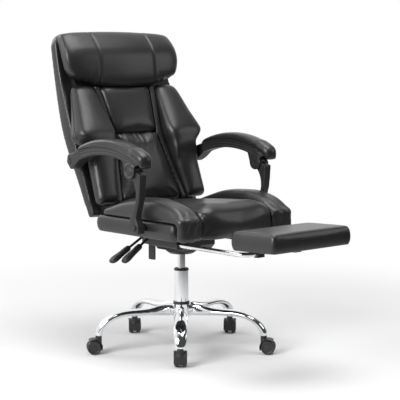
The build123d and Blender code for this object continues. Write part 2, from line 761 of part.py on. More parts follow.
# The height lever also has a release arm over the valve pin
height_rod = lever_rod(HEIGHT_LEVER_Y, HEIGHT_LEVER_DIP, HEIGHT_LEVER_LENGTH)
release_bottom = CYLINDER_TOP + VALVE_RISE + RELEASE_GAP
release_bend = LEVER_PIN_X / 2
release_root = LEVER_PIN_X + LEVER_EYE_R - FIT
with BuildPart() as height_lever:
    add(height_rod.part)
    with BuildSketch(Plane.XY.offset(release_bottom)):
        with BuildLine():
            Polyline((release_root, HEIGHT_LEVER_Y), (release_bend, HEIGHT_LEVER_Y), (0, 0))
            offset(amount=RELEASE_WIDTH / 2)
        make_face()
    extrude(amount=RELEASE_THICK)
    with BuildSketch(Plane.XZ.offset(-HEIGHT_LEVER_Y)):
        with Locations((LEVER_PIN_X, LEVER_PIN_Z)):
            Circle(LEVER_PIN_R + RUN)
    extrude(amount=LEVER_EYE_WIDTH, both=True, mode=Mode.SUBTRACT)
keep(height_lever.part, "height_lever")
keep(lever_grip(HEIGHT_LEVER_Y, HEIGHT_LEVER_DIP, HEIGHT_LEVER_LENGTH), "height_lever_grip")

# Lock tab hanging on its stub
tab_x = -HOUSE_HALF_WIDTH - TAB_STUB_LENGTH + TAB_THICK / 2
with BuildPart() as lock_tab:
    with BuildSketch(SIDE_PLANE.offset(tab_x)):
        with Locations((TAB_Y, TAB_Z - (TAB_DROP - TAB_STUB_R) / 2)):
            RectangleRounded(TAB_WIDTH, TAB_DROP + TAB_STUB_R, TAB_STUB_R)
        with Locations((TAB_Y, TAB_Z)):
            Circle(2 * TAB_STUB_R)
            Circle(TAB_STUB_R + RUN, mode=Mode.SUBTRACT)
    extrude(amount=TAB_THICK)
keep(lock_tab.part, "lock_tab")

# Seat board and the upholstered plinth around it
board_half = SEAT_HALF_WIDTH - BOARD_INSET
board_front = PLINTH_FRONT + BOARD_INSET
board_rear = PLINTH_REAR - BOARD_INSET
board_middle = (board_front + board_rear) / 2
with BuildPart() as seat_board:
    with BuildSketch(Plane.XY.offset(PLATE_TOP)):
        with Locations((0, board_middle)):
            RectangleRounded(2 * board_half, board_rear - board_front, PLINTH_CORNER)
        with Locations(*bolt_spots):
            Circle(BOLT_R + FIT, mode=Mode.SUBTRACT)
    extrude(amount=BOARD_THICK)
keep(seat_board.part, "seat_board")

plinth_corners = [
    (-SEAT_HALF_WIDTH, PLINTH_FRONT),
    (SEAT_HALF_WIDTH, PLINTH_FRONT),
    (SEAT_HALF_WIDTH, PLINTH_REAR),
    (-SEAT_HALF_WIDTH, PLINTH_REAR),
]
with BuildPart() as seat_plinth:
    for share, pull in PLINTH_RINGS:
        with BuildSketch(Plane.XY.offset(PLATE_TOP + share * (PLINTH_TOP - PLATE_TOP))):
            with BuildLine():
                FilletPolyline(*inset(plinth_corners, pull), radius=PLINTH_CORNER, close=True)
            make_face()
    loft()
    with BuildSketch(Plane.XY.offset(PLATE_TOP)):
        with Locations((0, board_middle)):
            RectangleRounded(
                2 * (board_half + FIT), board_rear - board_front + 2 * FIT, PLINTH_CORNER + FIT
            )
    extrude(amount=BOARD_THICK, mode=Mode.SUBTRACT)
    with BuildSketch(SIDE_PLANE.offset(-ARM_X)):
        with Locations(POST_PIVOT):
            Circle(POST_BOLT_R + FIT)
    extrude(amount=2 * ARM_X, mode=Mode.SUBTRACT)
keep(seat_plinth.part, "seat_plinth")

# Seat cushion: crowned top that rolls over the front and down the plinth as a skirt
skirt_in = PLINTH_FRONT - SKIRT_GAP
panel_edge = PANEL_HALF_WIDTH - PAD_SPACE / 2
panel_stations = (
    (-panel_edge, 2 * PANEL_CROWN),
    (-panel_edge + 2 * PANEL_CROWN, PANEL_CROWN),
    (0, 0),
    (panel_edge - 2 * PANEL_CROWN, PANEL_CROWN),
    (panel_edge, 2 * PANEL_CROWN),
)
roll_z = (CREST_Z + SKIRT_BOTTOM) / 2 + PANEL_CROWN
with BuildPart() as seat_cushion:
    for x, drop in panel_stations:
        front = SEAT_FRONT + drop / 2
        with BuildSketch(SIDE_PLANE.offset(x)):
            with BuildLine():
                top = ThreePointArc(
                    (SEAT_REAR, SEAT_REAR_Z - drop),
                    ((SEAT_REAR + CREST_Y) / 2, SEAT_DIP_Z - drop),
                    (CREST_Y, CREST_Z - drop),
                )
                roll = ThreePointArc(
                    top @ 1,
                    (front + FRONT_ROLL[0], CREST_Z - drop - FRONT_ROLL[1]),
                    (front, roll_z - drop),
                )
                Polyline(
                    roll @ 1,
                    (front + drop / 4, SKIRT_BOTTOM + drop / 4),
                    (skirt_in, SKIRT_BOTTOM),
                    (skirt_in, PLINTH_TOP),
                    (SEAT_REAR, PLINTH_TOP),
                    top @ 0,
                )
            make_face()
    loft()
keep(seat_cushion.part, "seat_cushion")

# Side bolsters: a tongue that thins to the rear and wraps the front corner
bolster_stations = (
    PANEL_HALF_WIDTH + PAD_SPACE / 2,
    PANEL_HALF_WIDTH + 2 * BOLSTER_TUCK,
    (PANEL_HALF_WIDTH + SEAT_HALF_WIDTH) / 2,
    SEAT_HALF_WIDTH - BOLSTER_TUCK,
    SEAT_HALF_WIDTH - SWING_GAP,
)
bolster_foot = PLINTH_TOP + BOLSTER_LIFT
bolster_roll_z = (BOLSTER_CREST_Z + SKIRT_BOTTOM) / 2 + PANEL_CROWN
with BuildPart() as bolster:
    for x, pull in zip(bolster_stations, BOLSTER_PULLS):
        rise = pull / 3
        front = SEAT_FRONT + pull / 2
        with BuildSketch(SIDE_PLANE.offset(x)):
            with BuildLine():
                tail = ThreePointArc(
                    (BOLSTER_TAIL - pull, BOLSTER_TAIL_Z),
                    (0, (BOLSTER_CREST_Z + BOLSTER_TAIL_Z) / 2 + BOLSTER_TUCK - pull),
                    (BOLSTER_CREST_Y, BOLSTER_CREST_Z - pull),
                )
                roll = ThreePointArc(
                    tail @ 1,
                    (SEAT_FRONT + BOLSTER_ROLL[0] + pull, BOLSTER_CREST_Z - BOLSTER_ROLL[1] - pull),
                    (front, bolster_roll_z - pull),
                )
                Polyline(
                    roll @ 1,
                    (front + rise, SKIRT_BOTTOM + rise),
                    (skirt_in, SKIRT_BOTTOM + rise),
                    (skirt_in, bolster_foot + rise),
                    (BOLSTER_TAIL - pull, bolster_foot + rise),
                    tail @ 0,
                )
            make_face()
    loft()
with BuildPart() as seat_bolsters:
    add(bolster.part)
    mirror(about=Plane.YZ)
keep(seat_bolsters.part, "seat_bolsters")

# Fasteners of the seat: four plate bolts and the two bolts that the arm posts turn on
post_in = ARM_X - POST_THICK / 2
post_out = ARM_X + POST_THICK / 2
with BuildPart() as seat_bolts:
    with BuildSketch(Plane.XY.offset(plate_bottom - BOLT_HEAD_H)):
        with Locations(*bolt_spots):
            RegularPolygon(BOLT_HEAD_R, 6)
    extrude(amount=BOLT_HEAD_H)
    with BuildSketch(Plane.XY.offset(plate_bottom)):
        with Locations(*bolt_spots):
            Circle(BOLT_R)
    extrude(amount=PLATE_THICK + BOLT_BITE)
    for side in (-1, 1):
        with BuildSketch(SIDE_PLANE.offset(side * board_half)):
            with Locations(POST_PIVOT):
                Circle(POST_BOLT_R)
        extrude(amount=side * (post_out + SOFT_GAP - board_half))
        with BuildSketch(SIDE_PLANE.offset(side * (post_out + SOFT_GAP))):
            with Locations(POST_PIVOT):
                Circle(POST_BOLT_HEAD_R)
        extrude(amount=side * POST_BOLT_HEAD_H)
keep(seat_bolts.part, "seat_bolts")

# Footrest guides: flanged blocks under the seat that the tube slides in
guide_bottom = RAIL_Z - GUIDE_WIDTH / 2
with BuildPart() as footrest_guides:
    for side in (-1, 1):
        with Locations((side * RAIL_X, (GUIDE_FRONT + GUIDE_REAR) / 2, guide_bottom)):
            Box(
                GUIDE_WIDTH,
                GUIDE_REAR - GUIDE_FRONT,
                PLATE_TOP - guide_bottom,
                align=(Align.CENTER, Align.CENTER, Align.MIN),
            )
    fillet(footrest_guides.edges().filter_by(Axis.Y).group_by(Axis.Z)[0], GUIDE_WIDTH / 3)
    for side in (-1, 1):
        with Locations((side * RAIL_X, (GUIDE_FRONT + GUIDE_REAR) / 2, PLATE_TOP)):
            Box(
                GUIDE_FLANGE,
                GUIDE_REAR - GUIDE_FRONT,
                GUIDE_FLANGE_THICK,
                align=(Align.CENTER, Align.CENTER, Align.MAX),
            )
    with BuildSketch(Plane.XZ.offset(-GUIDE_REAR)):
        with Locations((RAIL_X, RAIL_Z), (-RAIL_X, RAIL_Z)):
            Circle(RAIL_R + RUN)
    extrude(amount=GUIDE_REAR - GUIDE_FRONT, mode=Mode.SUBTRACT)
keep(footrest_guides.part, "footrest_guides")

# Footrest frame: one chrome tube bent to a U
with BuildPart() as footrest_frame:
    with BuildLine(Plane.XY.offset(RAIL_Z)):
        FilletPolyline(
            (RAIL_X, RAIL_REAR),
            (RAIL_X, FLIP_Y),
            (-RAIL_X, FLIP_Y),
            (-RAIL_X, RAIL_REAR),
            radius=RAIL_BEND,
        )
    with BuildSketch(Plane(origin=(RAIL_X, RAIL_REAR, RAIL_Z), x_dir=(1, 0, 0), z_dir=(0, -1, 0))):
        Circle(RAIL_R)
        Circle(RAIL_R - RAIL_WALL, mode=Mode.SUBTRACT)
    sweep()
keep(footrest_frame.part, "footrest_frame")

# Footrest pad wrapped round its board, flipped about the tube's front bar by two clips
tilt = radians(FOOT_TILT)
foot_plane = Plane(origin=(0, FLIP_Y, RAIL_Z), x_dir=(1, 0, 0), z_dir=(0, sin(tilt), cos(tilt)))
foot_middle = FOOT_OVERHANG - FOOT_LENGTH / 2
with BuildPart() as footrest_clips:
    with BuildSketch(foot_plane.offset(-CLIP_HALF)):
        with Locations((CLIP_X, 0), (-CLIP_X, 0)):
            Rectangle(CLIP_WIDTH, 2 * CLIP_HALF)
    extrude(amount=CLIP_HALF + FOOT_BOARD_RISE)
    fillet(footrest_clips.edges().filter_by(Axis.X).group_by(Axis.Z)[0], CLIP_ROUND)
    with BuildSketch(SIDE_PLANE.offset(-CLIP_X - CLIP_WIDTH)):
        with Locations((FLIP_Y, RAIL_Z)):
            Circle(RAIL_R + RUN)
    extrude(amount=2 * (CLIP_X + CLIP_WIDTH), mode=Mode.SUBTRACT)
keep(footrest_clips.part, "footrest_clips")

with BuildPart() as footrest_board:
    with BuildSketch(foot_plane.offset(FOOT_BOARD_RISE)):
        with Locations((0, foot_middle)):
            RectangleRounded(
                FOOT_WIDTH - 2 * FOOT_BOARD_INSET, FOOT_LENGTH - 2 * FOOT_BOARD_INSET, FOOT_CORNER
            )
    extrude(amount=FOOT_BOARD_THICK)
keep(footrest_board.part, "footrest_board")

foot_corners = [
    (-FOOT_WIDTH / 2, FOOT_OVERHANG - FOOT_LENGTH),
    (FOOT_WIDTH / 2, FOOT_OVERHANG - FOOT_LENGTH),
    (FOOT_WIDTH / 2, FOOT_OVERHANG),
    (-FOOT_WIDTH / 2, FOOT_OVERHANG),
]
with BuildPart() as footrest_pad:
    for share, pull in FOOT_RINGS:
        with BuildSketch(foot_plane.offset(FOOT_BOARD_RISE + share * FOOT_THICK)):
            with BuildLine():
                FilletPolyline(*inset(foot_corners, pull), radius=FOOT_CORNER, close=True)
            make_face()
    loft()
    with BuildSketch(foot_plane.offset(FOOT_BOARD_RISE)):
        with Locations((0, foot_middle)):
            RectangleRounded(
                FOOT_WIDTH - 2 * (FOOT_BOARD_INSET - SOFT_GAP),
                FOOT_LENGTH - 2 * (FOOT_BOARD_INSET - SOFT_GAP),
                FOOT_CORNER,
            )
    extrude(amount=FOOT_BOARD_THICK, mode=Mode.SUBTRACT)
keep(footrest_pad.part, "footrest_pad")

# Back shell: the upholstered outer panel, straight below and bent forwards at the head
with BuildPart() as back_shell:
    with BuildSketch(BACK_SIDE):
        with BuildLine():
            rear = Line((SHELL_FOOT, 0), (SHELL_STRAIGHT, 0))
            rear_bend = JernArc(rear @ 1, (1, 0), SHELL_BEND_R, SHELL_BEND)
            face = Line((SHELL_FOOT, SHELL_THICK), (SHELL_STRAIGHT, SHELL_THICK))
            face_bend = JernArc(face @ 1, (1, 0), SHELL_BEND_R - SHELL_THICK, SHELL_BEND)
            Line(rear @ 0, face @ 0)
            Line(rear_bend @ 1, face_bend @ 1)
        make_face()
    extrude(amount=SHELL_HALF_WIDTH, both=True)
    head = back_shell.faces().sort_by(Axis.Z)[-1]
    fillet(head.edges().filter_by(Axis.X, reverse=True), SHELL_CORNER)
    rim = back_shell.faces().sort_by(Axis((0, 0, 0), tuple(OUT_BACK)))[0]
    fillet(rim.edges().filter_by(Axis.X, reverse=True), SHELL_EDGE)
keep(back_shell.part, "back_shell")

# Core board in front of the shell, which every pad is fixed to
core_bend_r = SHELL_BEND_R - SHELL_THICK
core_bend = degrees(asin((CORE_HEAD - SHELL_STRAIGHT) / core_bend_r))
with BuildPart() as back_board:
    with BuildSketch(BACK_SIDE):
        with BuildLine():
            rear = Line((CORE_FOOT, SHELL_THICK), (SHELL_STRAIGHT, SHELL_THICK))
            rear_bend = JernArc(rear @ 1, (1, 0), core_bend_r, core_bend)
            Polyline(rear_bend @ 1, (CORE_HEAD, CORE_FRONT), (CORE_FOOT, CORE_FRONT), rear @ 0)
        make_face()
    extrude(amount=CORE_HALF_WIDTH, both=True)
keep(back_board.part, "back_board")

# Back bars: bent flats from the recline shaft up the shell's rear face
hinge_v, hinge_w = on_back(HINGE)
with BuildPart() as back_bars:
    for x in (bar_in, -bar_in - BAR_THICK):
        with BuildSketch(BACK_SIDE.offset(x)):
            Polygon(
                (hinge_v - BAR_EYE_R, hinge_w),
                (hinge_v, hinge_w - 2 * BAR_EYE_R),
                (SHELL_FOOT - SWING_GAP, -BAR_THICK),
                (SHELL_FOOT - SWING_GAP, hinge_w / 2),
                (hinge_v, hinge_w + BAR_EYE_R),
                align=None,
            )
            with Locations((hinge_v, hinge_w)):
                Circle(BAR_EYE_R)
        extrude(amount=BAR_THICK)
    for side in (-1, 1):
        with BuildSketch(Plane(origin=BACK_ORIGIN, x_dir=(1, 0, 0), z_dir=OUT_BACK).offset(-BAR_THICK)):
            with Locations((side * (bar_in + BAR_THICK / 2), (BAR_TOP + SHELL_FOOT) / 2 - BAR_THICK)):
                RectangleRounded(BAR_WIDTH, BAR_TOP - SHELL_FOOT + 2 * BAR_THICK, BAR_THICK)
        extrude(amount=BAR_THICK)
    with BuildSketch(SIDE_PLANE.offset(-shaft_half)):
        with Locations(HINGE):
            Circle(HINGE_PIN_R + RUN)
    extrude(amount=2 * shaft_half, mode=Mode.SUBTRACT)
keep(back_bars.part, "back_bars")

# Padded panels of the back, with flat welts between the middle and the sides
upper_outline = [
    (PANEL_SEAM_HALF, PANEL_SEAM + PAD_SPACE / 2),
    (PANEL_TOP_HALF, PANEL_TOP),
    (-PANEL_TOP_HALF, PANEL_TOP),
    (-PANEL_SEAM_HALF, PANEL_SEAM + PAD_SPACE / 2),
]
keep(back_pad(upper_outline, PANEL_DEPTH, PANEL_DEPTH), "back_panel_upper")
lower_outline = [
    (PANEL_FOOT_HALF, PANEL_FOOT),
    (PANEL_SEAM_HALF, PANEL_SEAM - PAD_SPACE / 2),
    (-PANEL_SEAM_HALF, PANEL_SEAM - PAD_SPACE / 2),
    (-PANEL_FOOT_HALF, PANEL_FOOT),
]
keep(back_pad(lower_outline, PANEL_DEPTH, PANEL_DEPTH), "back_panel_lower")

welt_in = PAD_SPACE
welt_out = PAD_SPACE + WELT_WIDTH
with BuildPart() as back_welts:
    with BuildSketch(Plane(origin=BACK_ORIGIN, x_dir=(1, 0, 0), z_dir=OUT_BACK).offset(CORE_FRONT)):
        Polygon(
            (PANEL_FOOT_HALF + welt_in, PANEL_FOOT),
            (PANEL_FOOT_HALF + welt_out, PANEL_FOOT),
            (PANEL_SEAM_HALF + welt_out, PANEL_SEAM),
            (PANEL_TOP_HALF + welt_out, PANEL_TOP),
            (PANEL_TOP_HALF + welt_in, PANEL_TOP),
            (PANEL_SEAM_HALF + welt_in, PANEL_SEAM),
            align=None,
        )
        mirror(about=Plane.YZ)
    extrude(amount=WELT_DEPTH)
keep(back_welts.part, "back_welts")

pad_in = welt_out + PAD_SPACE
neck_share = (PANEL_SEAM - WING_FOOT) / (PANEL_SEAM - PANEL_FOOT)
foot_spread = PANEL_FOOT_HALF - PANEL_SEAM_HALF
wing_outline = [
    (PANEL_SEAM_HALF + pad_in + foot_spread * neck_share, WING_FOOT),
    (WING_FOOT_OUT, WING_FOOT),
    (WING_TIP_OUT, WING_TIP),
    (WING_TOP_OUT, PANEL_TOP),
    (PANEL_TOP_HALF + pad_in, PANEL_TOP),
    (PANEL_SEAM_HALF + pad_in, PANEL_SEAM),
]
wing = back_pad(wing_outline, WING_DEPTH_TIP, WING_DEPTH_TOP)
with BuildPart() as back_wings:
    add(wing)
    mirror(about=Plane.YZ)
keep(back_wings.part, "back_wings")

side_outline = [
    (PANEL_FOOT_HALF + pad_in, PANEL_FOOT),
    (SIDE_OUT, PANEL_FOOT),
    (WING_FOOT_OUT, WING_FOOT - PAD_SPACE),
    (PANEL_SEAM_HALF + pad_in + foot_spread * neck_share, WING_FOOT - PAD_SPACE),
]
side_pad = back_pad(side_outline, SIDE_DEPTH_FOOT, SIDE_DEPTH_TOP)
with BuildPart() as back_sides:
    add(side_pad)
    mirror(about=Plane.YZ)
keep(back_sides.part, "back_sides")

# Head pillow: a fat roll with a flat back and drawn-in ends
pillow_back = CORE_FRONT + SOFT_GAP
with BuildPart() as head_pillow:
    for reach, share in PILLOW_STATIONS:
        half = share * (PILLOW_HEAD - PILLOW_FOOT) / 2
        middle = PILLOW_HEAD - half - (1 - share) * half / 2
        depth = share * PILLOW_DEPTH
        belly = pillow_back + PILLOW_BELLY * depth
        brow = pillow_back + PILLOW_BROW[1] * depth
        hem_low, brow_low = middle - PILLOW_HEM * half, middle - PILLOW_BROW[0] * half
        hem_high, brow_high = middle + PILLOW_HEM * half, middle + PILLOW_BROW[0] * half
        with BuildSketch(BACK_SIDE.offset(reach * PILLOW_HALF_WIDTH)):
            with BuildLine():
                ThreePointArc((hem_low, pillow_back), (middle - half, belly), (brow_low, brow))
                ThreePointArc((brow_low, brow), (middle, pillow_back + depth), (brow_high, brow))
                ThreePointArc((brow_high, brow), (middle + half, belly), (hem_high, pillow_back))
                Line((hem_high, pillow_back), (hem_low, pillow_back))
            make_face()
    loft()
keep(head_pillow.part, "head_pillow")

# Arm pivot bolts: a boss out of each edge of the core and a bolt through the arm's rear eye
frame_in = ARM_X - FRAME_WIDTH / 2
frame_out = ARM_X + FRAME_WIDTH / 2
recess_floor = frame_out - ARM_BOLT_RECESS
with BuildPart() as arm_pivot_bolts:
    for side in (-1, 1):
        with BuildSketch(SIDE_PLANE.offset(side * CORE_HALF_WIDTH)):
            with Locations(BACK_PIVOT):
                Circle(ARM_BOLT_BOSS_R)
        extrude(amount=side * (frame_in - SWING_GAP - CORE_HALF_WIDTH))
        with BuildSketch(SIDE_PLANE.offset(side * (frame_in - SWING_GAP))):
            with Locations(BACK_PIVOT):
                Circle(ARM_BOLT_R)
        extrude(amount=side * (recess_floor + 2 * SWING_GAP - frame_in))
        with BuildSketch(SIDE_PLANE.offset(side * (recess_floor + SWING_GAP))):
            with Locations(BACK_PIVOT):
                Circle(ARM_BOLT_HEAD_R)
        extrude(amount=side * ARM_BOLT_HEAD_H)
keep(arm_pivot_bolts.part, "arm_pivot_bolts")

# Arm post: waisted upright that turns on its foot bolt, with an eye for the knuckle pin
shin_top = (POST_FRONT, KNUCKLE[1] - POST_HEAD_R / 2)
shin_foot = (POST_FRONT + POST_HEAD_R / 2, POST_FOOT_Z)
heel_foot = (POST_PIVOT[0] + POST_HEEL, POST_FOOT_Z + POST_HEAD_R / 2)
heel_top = (POST_PIVOT[0] + POST_HEEL, POST_PIVOT[1] + POST_HEAD_R / 2)
neck = (KNUCKLE[0], KNUCKLE[1] - POST_HEAD_R)
calf = (POST_FRONT + POST_HEAD_R, POST_PIVOT[1] + POST_CALF * (KNUCKLE[1] - POST_PIVOT[1]))
with BuildPart() as arm_post:
    with BuildSketch(SIDE_PLANE.offset(post_in)):
        with BuildLine():
            Polyline(shin_top, shin_foot, heel_foot, heel_top)
            ThreePointArc(heel_top, calf, neck)
            Polyline(neck, (KNUCKLE[0], KNUCKLE[1] + POST_HEAD_R / 2), shin_top)
        make_face()
        with Locations(KNUCKLE):
            Circle(POST_HEAD_R)
            Circle(KNUCKLE_PIN_R + RUN, mode=Mode.SUBTRACT)
        with Locations(POST_PIVOT):
            Circle(POST_BOLT_R + RUN, mode=Mode.SUBTRACT)
    extrude(amount=POST_THICK)
    fillet(arm_post.edges().filter_by(Axis.X).group_by(Axis.Z)[0], POST_HEAD_R / 3)
    with BuildSketch(SIDE_PLANE.offset(SEAT_HALF_WIDTH + SWING_GAP)):
        with Locations(POST_PIVOT):
            Circle(POST_BOSS_R)
            Circle(POST_BOLT_R + RUN, mode=Mode.SUBTRACT)
    extrude(amount=post_in - SEAT_HALF_WIDTH - SWING_GAP)
keep(arm_post.part, "arm_post_left")
keep(mirror(arm_post.part, about=Plane.YZ), "arm_post_right")

# Arm frame: an arched bar with a flared rear eye, two knuckle cheeks and a ringed disc on the outer one
nose = (KNUCKLE[0] + FRAME_NOSE[0], KNUCKLE[1] + FRAME_NOSE[1])
chin = (nose[0] + FRAME_CHIN[0], nose[1] + FRAME_CHIN[1])
tail = (BACK_PIVOT[0] + FRAME_TAIL[0], BACK_PIVOT[1] + FRAME_TAIL[1])
nape = (tail[0] + FRAME_NAPE[0], tail[1] + FRAME_NAPE[1])
flare = [(BACK_PIVOT[0] + y, BACK_PIVOT[1] + z) for y, z in FRAME_FLARE]
belly = (FRAME_PEAK[0], FRAME_PEAK[1] - FRAME_THICK)
with BuildPart() as arm_frame:
    with BuildSketch(SIDE_PLANE.offset(frame_in)):
        with BuildLine():
            ThreePointArc(nose, FRAME_PEAK, tail)
            Polyline(tail, *flare, nape)
            ThreePointArc(nape, belly, chin)
            Line(chin, nose)
        make_face()
        with Locations(KNUCKLE):
            Circle(KNUCKLE_R)
        Polygon(
            (KNUCKLE[0] - KNUCKLE_R, KNUCKLE[1]),
            (KNUCKLE[0] + KNUCKLE_R, KNUCKLE[1]),
            (KNUCKLE[0] + 2 * POST_HEAD_R, belly[1] - POST_HEAD_R / 2),
            (KNUCKLE[0], KNUCKLE[1] + POST_HEAD_R),
            (KNUCKLE[0] - KNUCKLE_R, chin[1]),
            align=None,
        )
    extrude(amount=FRAME_WIDTH)
    with BuildSketch(SIDE_PLANE.offset(post_in - SWING_GAP)):
        with Locations(KNUCKLE):
            Circle(KNUCKLE_SLOT_R)
        with Locations((KNUCKLE[0], KNUCKLE[1] + KNUCKLE_SLOT_TOP + KNUCKLE_SLOT_R)):
            Rectangle(2 * KNUCKLE_SLOT_R, 2 * KNUCKLE_SLOT_R, mode=Mode.SUBTRACT)
    extrude(amount=POST_THICK + 2 * SWING_GAP, mode=Mode.SUBTRACT)
    with BuildSketch(SIDE_PLANE.offset(frame_in)):
        with Locations(KNUCKLE):
            Circle(KNUCKLE_PIN_R + FIT)
        with Locations(BACK_PIVOT):
            Circle(ARM_BOLT_R + ARM_BOLT_PLAY)
    extrude(amount=FRAME_WIDTH, mode=Mode.SUBTRACT)
    with BuildSketch(SIDE_PLANE.offset(recess_floor)):
        with Locations(BACK_PIVOT):
            Circle(ARM_BOLT_RECESS_R)
    extrude(amount=ARM_BOLT_RECESS, mode=Mode.SUBTRACT)
    with BuildSketch(SIDE_PLANE.offset(frame_out)):
        with Locations(KNUCKLE):
            Circle(KNUCKLE_R)
            Circle(KNUCKLE_RING_R, mode=Mode.SUBTRACT)
            Circle(KNUCKLE_HUB_R)
    extrude(amount=KNUCKLE_RISE)
keep(arm_frame.part, "arm_frame_left")
keep(mirror(arm_frame.part, about=Plane.YZ), "arm_frame_right")

with BuildPart() as arm_pin:
    with BuildSketch(SIDE_PLANE.offset(frame_in)):
        with Locations(KNUCKLE):
            Circle(KNUCKLE_PIN_R)
    extrude(amount=FRAME_WIDTH - SOFT_GAP)
keep(arm_pin.part, "arm_pin_left")
keep(mirror(arm_pin.part, about=Plane.YZ), "arm_pin_right")

# Arm pad: padded cover over the arch, crowned across and drooping at its front tip
under_nose = (nose[0] - SOFT_GAP, nose[1] + SOFT_GAP)
lip = (nose[0] + ARM_PAD_LIP[0], nose[1] + ARM_PAD_LIP[1])
lip_back = (nose[0] - SOFT_GAP, lip[1])
under_peak = (FRAME_PEAK[0], FRAME_PEAK[1] + SOFT_GAP)
under_tail = (tail[0], tail[1] + SOFT_GAP)
with BuildPart() as arm_pad:
    for step, drop in ARM_PAD_STATIONS:
        tip = (nose[0] - ARM_PAD_TIP + drop, nose[1] + ARM_PAD_RISE - drop)
        peak = (FRAME_PEAK[0], FRAME_PEAK[1] + ARM_PAD_RISE - drop)
        heel = (tail[0] - ARM_PAD_HEEL[0] - drop, tail[1] + ARM_PAD_HEEL[1] - drop)
        with BuildSketch(SIDE_PLANE.offset(ARM_X + step)):
            with BuildLine():
                ThreePointArc(tip, peak, heel)
                ThreePointArc(under_nose, under_peak, under_tail)
                Polyline(tip, lip, lip_back, under_nose)
                Line(heel, under_tail)
            make_face()
    loft()
keep(arm_pad.part, "arm_pad_left")
keep(mirror(arm_pad.part, about=Plane.YZ), "arm_pad_right")
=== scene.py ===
import math

import bpy
import numpy as np
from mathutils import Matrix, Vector


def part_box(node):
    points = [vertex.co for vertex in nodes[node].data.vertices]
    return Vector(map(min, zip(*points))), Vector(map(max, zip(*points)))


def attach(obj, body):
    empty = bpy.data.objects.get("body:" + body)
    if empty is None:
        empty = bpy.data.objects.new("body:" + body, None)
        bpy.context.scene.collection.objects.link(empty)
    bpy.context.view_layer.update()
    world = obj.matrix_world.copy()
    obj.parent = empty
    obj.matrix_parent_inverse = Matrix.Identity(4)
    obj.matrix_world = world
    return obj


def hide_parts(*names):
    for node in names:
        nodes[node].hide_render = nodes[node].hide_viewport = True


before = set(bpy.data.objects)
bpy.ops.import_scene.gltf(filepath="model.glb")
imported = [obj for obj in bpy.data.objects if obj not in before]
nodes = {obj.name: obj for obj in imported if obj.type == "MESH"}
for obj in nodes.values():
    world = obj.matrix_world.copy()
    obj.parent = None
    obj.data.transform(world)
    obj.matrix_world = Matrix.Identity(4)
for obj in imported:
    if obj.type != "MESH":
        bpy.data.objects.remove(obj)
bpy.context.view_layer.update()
scene = bpy.context.scene

# Studio camera: a long lens at table height, about 4.5 m from the chair's front right corner.
# It looks down a little, and colours are shown as they are written.
CAMERA_SPOT = (-2.9737, -3.3850, 1.01567)
CAMERA_TURN = (83.78, 0.0, -42.13)
CAMERA_LENS = 116.94
CAMERA_SENSOR = 36
CAMERA_REACH = 60
scene.view_settings.view_transform = "Standard"
turn = [math.radians(angle) for angle in CAMERA_TURN]
bpy.ops.object.camera_add(location=CAMERA_SPOT, rotation=turn)
camera = bpy.context.object
camera.data.lens = CAMERA_LENS
camera.data.sensor_width = CAMERA_SENSOR
camera.data.clip_end = CAMERA_REACH
scene.camera = camera

# Floor and backdrop: one wide sheet of pale paper that fades to white away from the chair.
# Mirrored in chrome and leather, it is white behind the chair and dim in front of it.
FLOOR_SIZE = 30
FLOOR_CELLS = 8
FLOOR_DROP = 0.0005
FLOOR_GREY = (0.86, 0.86, 0.8643, 1.0)
FLOOR_FADE = (0.55, 2.2)
FLOOR_REAR = (-0.6, 1.2)
ROOM_FLOOR = (0.16, 0.16, 0.16, 1.0)
PURE_WHITE = (1.0, 1.0, 1.0, 1.0)


class Strand:
    """One socket of a finish, so that a finish is written as plain sums."""

    def __init__(self, finish, socket):
        self.finish = finish
        self.socket = socket

    def sum(self, operation, first, second):
        return self.finish.node("ShaderNodeMath", {"operation": operation}, {0: first, 1: second})

    def __add__(self, other):
        return self.sum("ADD", self, other)

    def __mul__(self, other):
        return self.sum("MULTIPLY", self, other)

    def __rsub__(self, other):
        return self.sum("SUBTRACT", other, self)

    __radd__ = __add__
    __rmul__ = __mul__


